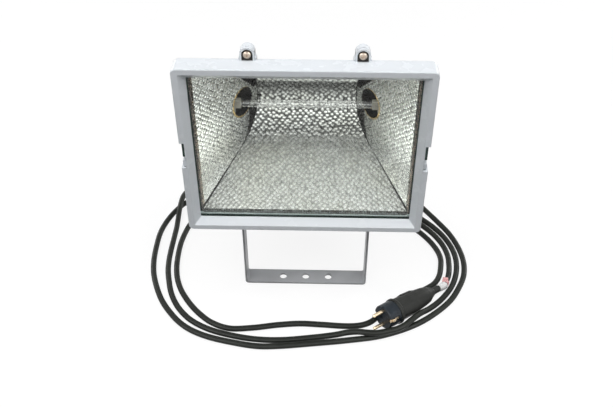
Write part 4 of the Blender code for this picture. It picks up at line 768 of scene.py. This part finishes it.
def round_tube(name, path, radius, sides, material):
    """A mesh tube along the path, with flat ends and no twist."""
    points = []
    faces = []
    side = Vector((1.0, 0.0, 0.0))
    for i, centre in enumerate(path):
        ahead = (path[min(i + 1, len(path) - 1)] - path[max(i - 1, 0)]).normalized()
        side = (side - ahead * side.dot(ahead)).normalized()
        other = ahead.cross(side)
        for k in range(sides):
            angle = 2.0 * math.pi * k / sides
            points.append(centre + (side * math.cos(angle) + other * math.sin(angle)) * radius)
    for i in range(len(path) - 1):
        for k in range(sides):
            m = (k + 1) % sides
            faces.append((i * sides + k, i * sides + m, (i + 1) * sides + m, (i + 1) * sides + k))
    last = (len(path) - 1) * sides
    faces.append(tuple(reversed(range(sides))))
    faces.append(tuple(last + k for k in range(sides)))
    item = mesh_piece(name, points, faces, material)
    item.data.polygons.foreach_set("use_smooth", [True] * len(faces))
    return item


def leaf(name, corners, thick, material):
    """A thin slab over four corners, thickened along its own normal."""
    flat = [Vector(corner) * MM for corner in corners]
    normal = (flat[1] - flat[0]).cross(flat[3] - flat[0]).normalized() * thick * MM
    points = flat + [point + normal for point in flat]
    faces = [(3, 2, 1, 0), (4, 5, 6, 7), (0, 1, 5, 4), (1, 2, 6, 5), (2, 3, 7, 6), (3, 0, 4, 7)]
    return mesh_piece(name, points, faces, material)


def route(step):
    """The cord's route as even points, in metres, from the gland to the plug."""
    return even([point * MM for point in smooth_path(cord_knots())], step)


LABEL_STEP = 0.001
LABEL_R = 5.2 * MM
BAND_R = 5.0 * MM
LABEL_SIDES = 20
TAG_AT = 19
TAG_CORNERS = ((-5.0, 2.0), (3.0, 1.0), (4.0, 7.5), (-3.5, 8.5))
TAG_THICK = 0.5


def add_labels(materials):
    """A blank white flag round the cord behind the plug, and a small blank tag tied behind it."""
    path = route(LABEL_STEP)[::-1]
    sleeve = round_tube("label_flag", path[2:15], LABEL_R, LABEL_SIDES, materials["label_paper"])
    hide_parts("label_sleeve")
    band = round_tube("tag_band", path[16:22], BAND_R, LABEL_SIDES, materials["tag_paper"])
    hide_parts("label_tag")
    at = path[TAG_AT] / MM
    right = Vector((1.0, 0.0, 0.0))
    up = Vector((0.0, 0.64, 0.77))
    corners = [at + right * a + up * b for a, b in TAG_CORNERS]
    flag = leaf("tag_flag", corners, TAG_THICK, materials["tag_paper"])
    for piece in (sleeve, band, flag):
        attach(piece, "bracket")
    return [sleeve, band, flag]


def add_cord(materials):
    """One smooth cord from the gland, round the loops on the floor, to the plug; it stays where it is built."""
    labels = add_labels(materials)
    path = route(CORD_STEP)
    piece = round_tube("cord", path, CORD_R * MM, CORD_SIDES, materials["cord_rubber"])
    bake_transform(piece)
    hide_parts("cord_lead", "cord_loops")


# Lamp filament

LAMP_AT = (0.020, 0.271)
FILAMENT_HALF = 80.6 * MM
TAIL_HALF = 74.0 * MM
COIL_HALF = 72.0 * MM
COIL_R = 0.9 * MM
COIL_PITCH = 1.1 * MM
COIL_STEPS = 8
COIL_WIRE = 0.2 * MM
SUPPORT_STEP = 27.0 * MM
SUPPORT_WIRE = 0.15 * MM
SUPPORT_STEPS = 36
WIRE_SIDES = 5


def winding(start, end, turns, radius, steps):
    """Points of a coil round the lamp's axis, from one x to another."""
    y, z = LAMP_AT
    path = []
    count = turns * steps
    for k in range(count + 1):
        angle = 2.0 * math.pi * turns * k / count
        x = start + (end - start) * k / count
        path.append(Vector((x, y + radius * math.cos(angle), z + radius * math.sin(angle))))
    return path


def add_filament(material):
    """A fine coil from cap to cap with small ring supports against the quartz."""
    y, z = LAMP_AT
    turns = int(2.0 * COIL_HALF / COIL_PITCH)
    path = [Vector((-FILAMENT_HALF, y, z)), Vector((-TAIL_HALF, y, z))]
    path += winding(-COIL_HALF, COIL_HALF, turns, COIL_R, COIL_STEPS)
    path += [Vector((TAIL_HALF, y, z)), Vector((FILAMENT_HALF, y, z))]
    coil = round_tube("filament_coil", path, COIL_WIRE, WIRE_SIDES, material)
    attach(coil, "head")
    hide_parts("lamp_filament")
    for number in range(-2, 3):
        ring = []
        for k in range(SUPPORT_STEPS + 1):
            angle = 2.0 * math.pi * 1.5 * k / SUPPORT_STEPS
            reach = (1.2 + 2.3 * k / SUPPORT_STEPS) * MM
            x = number * SUPPORT_STEP + 0.6 * MM * k / SUPPORT_STEPS
            ring.append(Vector((x, y + reach * math.cos(angle), z + reach * math.sin(angle))))
        support = round_tube("filament_support_" + str(number + 3), ring, SUPPORT_WIRE, WIRE_SIDES, material)
        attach(support, "head")


# Contact springs

SPRING_R = 2.7 * MM
SPRING_WIRE = 0.35 * MM
SPRING_TURNS = 4
SPRING_STEPS = 24
SPRING_SIDES = 8


def add_springs(material):
    """A coil behind each contact, as long as the contact spring it stands for."""
    for name, side in (("left", -1.0), ("right", 1.0)):
        low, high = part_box("contact_spring_" + name)
        first, last = sorted((abs(low[0]), abs(high[0])))
        inner, outer = first + SPRING_WIRE, last - SPRING_WIRE
        path = winding(side * inner, side * outer, SPRING_TURNS, SPRING_R, SPRING_STEPS)
        coil = round_tube("spring_coil_" + name, path, SPRING_WIRE, SPRING_SIDES, material)
        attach(coil, "head")
        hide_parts("contact_spring_" + name)
        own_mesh(coil)


# Floor, light and background

FLOOR_FADE = (0.75, 1.5)
FLOOR_REACH = 3.0
FLOOR_Z = -0.0004
FLOOR_GREY = 0.18
FLOOR_GLOW = 0.85
WORLD_LOW = 0.02
WORLD_HIGH = 0.26
WHITE = (1.0, 1.0, 1.0, 1.0)


def add_floor():
    """A pale floor that takes the shadow and fades into the white background."""
    s = Shader("floor", (FLOOR_GREY, FLOOR_GREY, FLOOR_GREY), 0.9, specular=0.0)
    path = s.node("LightPath")
    coordinates = s.node("TexCoord")
    length = s.node("VectorMath")
    length.operation = "LENGTH"
    s.link(coordinates.outputs["Object"], length.inputs[0])
    far = s.fit(length.outputs["Value"], *FLOOR_FADE)
    seen = s.math("MAXIMUM", path.outputs["Is Camera Ray"], path.outputs["Is Glossy Ray"])
    seen = s.math("MAXIMUM", seen, path.outputs["Is Transmission Ray"])
    glow = s.node("Emission", Color=WHITE)
    s.link(s.math("MULTIPLY", seen, FLOOR_GLOW), glow.inputs["Strength"])
    both = s.node("AddShader")
    s.link(s.shader.outputs["BSDF"], both.inputs[0])
    s.link(glow.outputs["Emission"], both.inputs[1])
    passes = s.node("BsdfTransparent")
    mix = s.node("MixShader")
    s.link(s.math("MULTIPLY", far, seen), mix.inputs["Fac"])
    s.link(both.outputs["Shader"], mix.inputs[1])
    s.link(passes.outputs["BSDF"], mix.inputs[2])
    s.link(mix.outputs["Shader"], s.output.inputs["Surface"])
    corners = [(x * FLOOR_REACH, y * FLOOR_REACH, 0.0) for x, y in ((-1, -1), (1, -1), (1, 1), (-1, 1))]
    item = mesh_piece("floor", corners, [(0, 1, 2, 3)], s.material)
    item.location = (0.0, 0.0, FLOOR_Z)


def add_world():
    """Grey light all round, brighter from above, and white where the camera sees or mirrors it."""
    world = bpy.data.worlds.new("world")
    bpy.context.scene.world = world
    world.use_nodes = True
    tree = world.node_tree
    background = tree.nodes["Background"]
    output = tree.nodes["World Output"]
    coordinates = tree.nodes.new("ShaderNodeTexCoord")
    split = tree.nodes.new("ShaderNodeSeparateXYZ")
    tree.links.new(coordinates.outputs["Generated"], split.inputs["Vector"])
    ramp = tree.nodes.new("ShaderNodeMapRange")
    ramp.interpolation_type = "SMOOTHSTEP"
    ramp.inputs["From Min"].default_value = 0.1
    ramp.inputs["From Max"].default_value = 0.9
    ramp.inputs["To Min"].default_value = WORLD_LOW
    ramp.inputs["To Max"].default_value = WORLD_HIGH
    tree.links.new(split.outputs["Z"], ramp.inputs["Value"])
    tree.links.new(ramp.outputs["Result"], background.inputs["Strength"])
    background.inputs["Color"].default_value = WHITE
    white = tree.nodes.new("ShaderNodeBackground")
    white.inputs["Color"].default_value = WHITE
    path = tree.nodes.new("ShaderNodeLightPath")
    mix = tree.nodes.new("ShaderNodeMixShader")
    seen = path.outputs["Is Camera Ray"]
    for ray in ("Is Glossy Ray", "Is Transmission Ray"):
        either = tree.nodes.new("ShaderNodeMath")
        either.operation = "MAXIMUM"
        tree.links.new(seen, either.inputs[0])
        tree.links.new(path.outputs[ray], either.inputs[1])
        seen = either.outputs["Value"]
    tree.links.new(seen, mix.inputs["Fac"])
    tree.links.new(background.outputs["Background"], mix.inputs[1])
    tree.links.new(white.outputs["Background"], mix.inputs[2])
    tree.links.new(mix.outputs["Shader"], output.inputs["Surface"])


def add_lamp(name, place, target, width, height, power, mirrored=True, lights=True):
    """A soft rectangular lamp; mirrored says whether reflections show it, lights whether it lights matt faces."""
    data = bpy.data.lights.new(name, "AREA")
    data.shape = "RECTANGLE"
    data.size = width
    data.size_y = height
    data.energy = power
    item = bpy.data.objects.new(name, data)
    item.location = place
    item.rotation_euler = (Vector(target) - Vector(place)).to_track_quat("-Z", "Y").to_euler()
    item.visible_glossy = mirrored
    item.visible_diffuse = lights
    bpy.context.scene.collection.objects.link(item)


def add_light():
    add_world()
    add_lamp("overhead", (0.0, -0.72, 1.80), (0.0, -0.03, 0.22), 2.6, 1.4, 38.5, mirrored=False)
    for name, side in (("rear_left", -1.0), ("rear_right", 1.0)):
        add_lamp(name, (side * 1.4, 1.2, 0.55), (0.0, 0.0, 0.22), 1.0, 0.8, 8.0)
    for name, side in (("left_card", -1.0), ("right_card", 1.0)):
        add_lamp(name, (side * 1.25, -1.05, 1.05), (0.0, -0.03, 0.25), 1.6, 1.4, 28.0, lights=False)
    add_lamp("front_card", (0.0, -1.55, 1.0), (0.0, -0.03, 0.25), 1.4, 0.7, 9.0, lights=False)


def main():
    bpy.context.scene.view_settings.view_transform = "Standard"
    add_camera()
    materials = make_materials()
    dress(materials)
    add_cord(materials)
    add_filament(materials["tungsten"])
    add_springs(materials["spring_steel"])
    add_floor()
    add_light()


main()
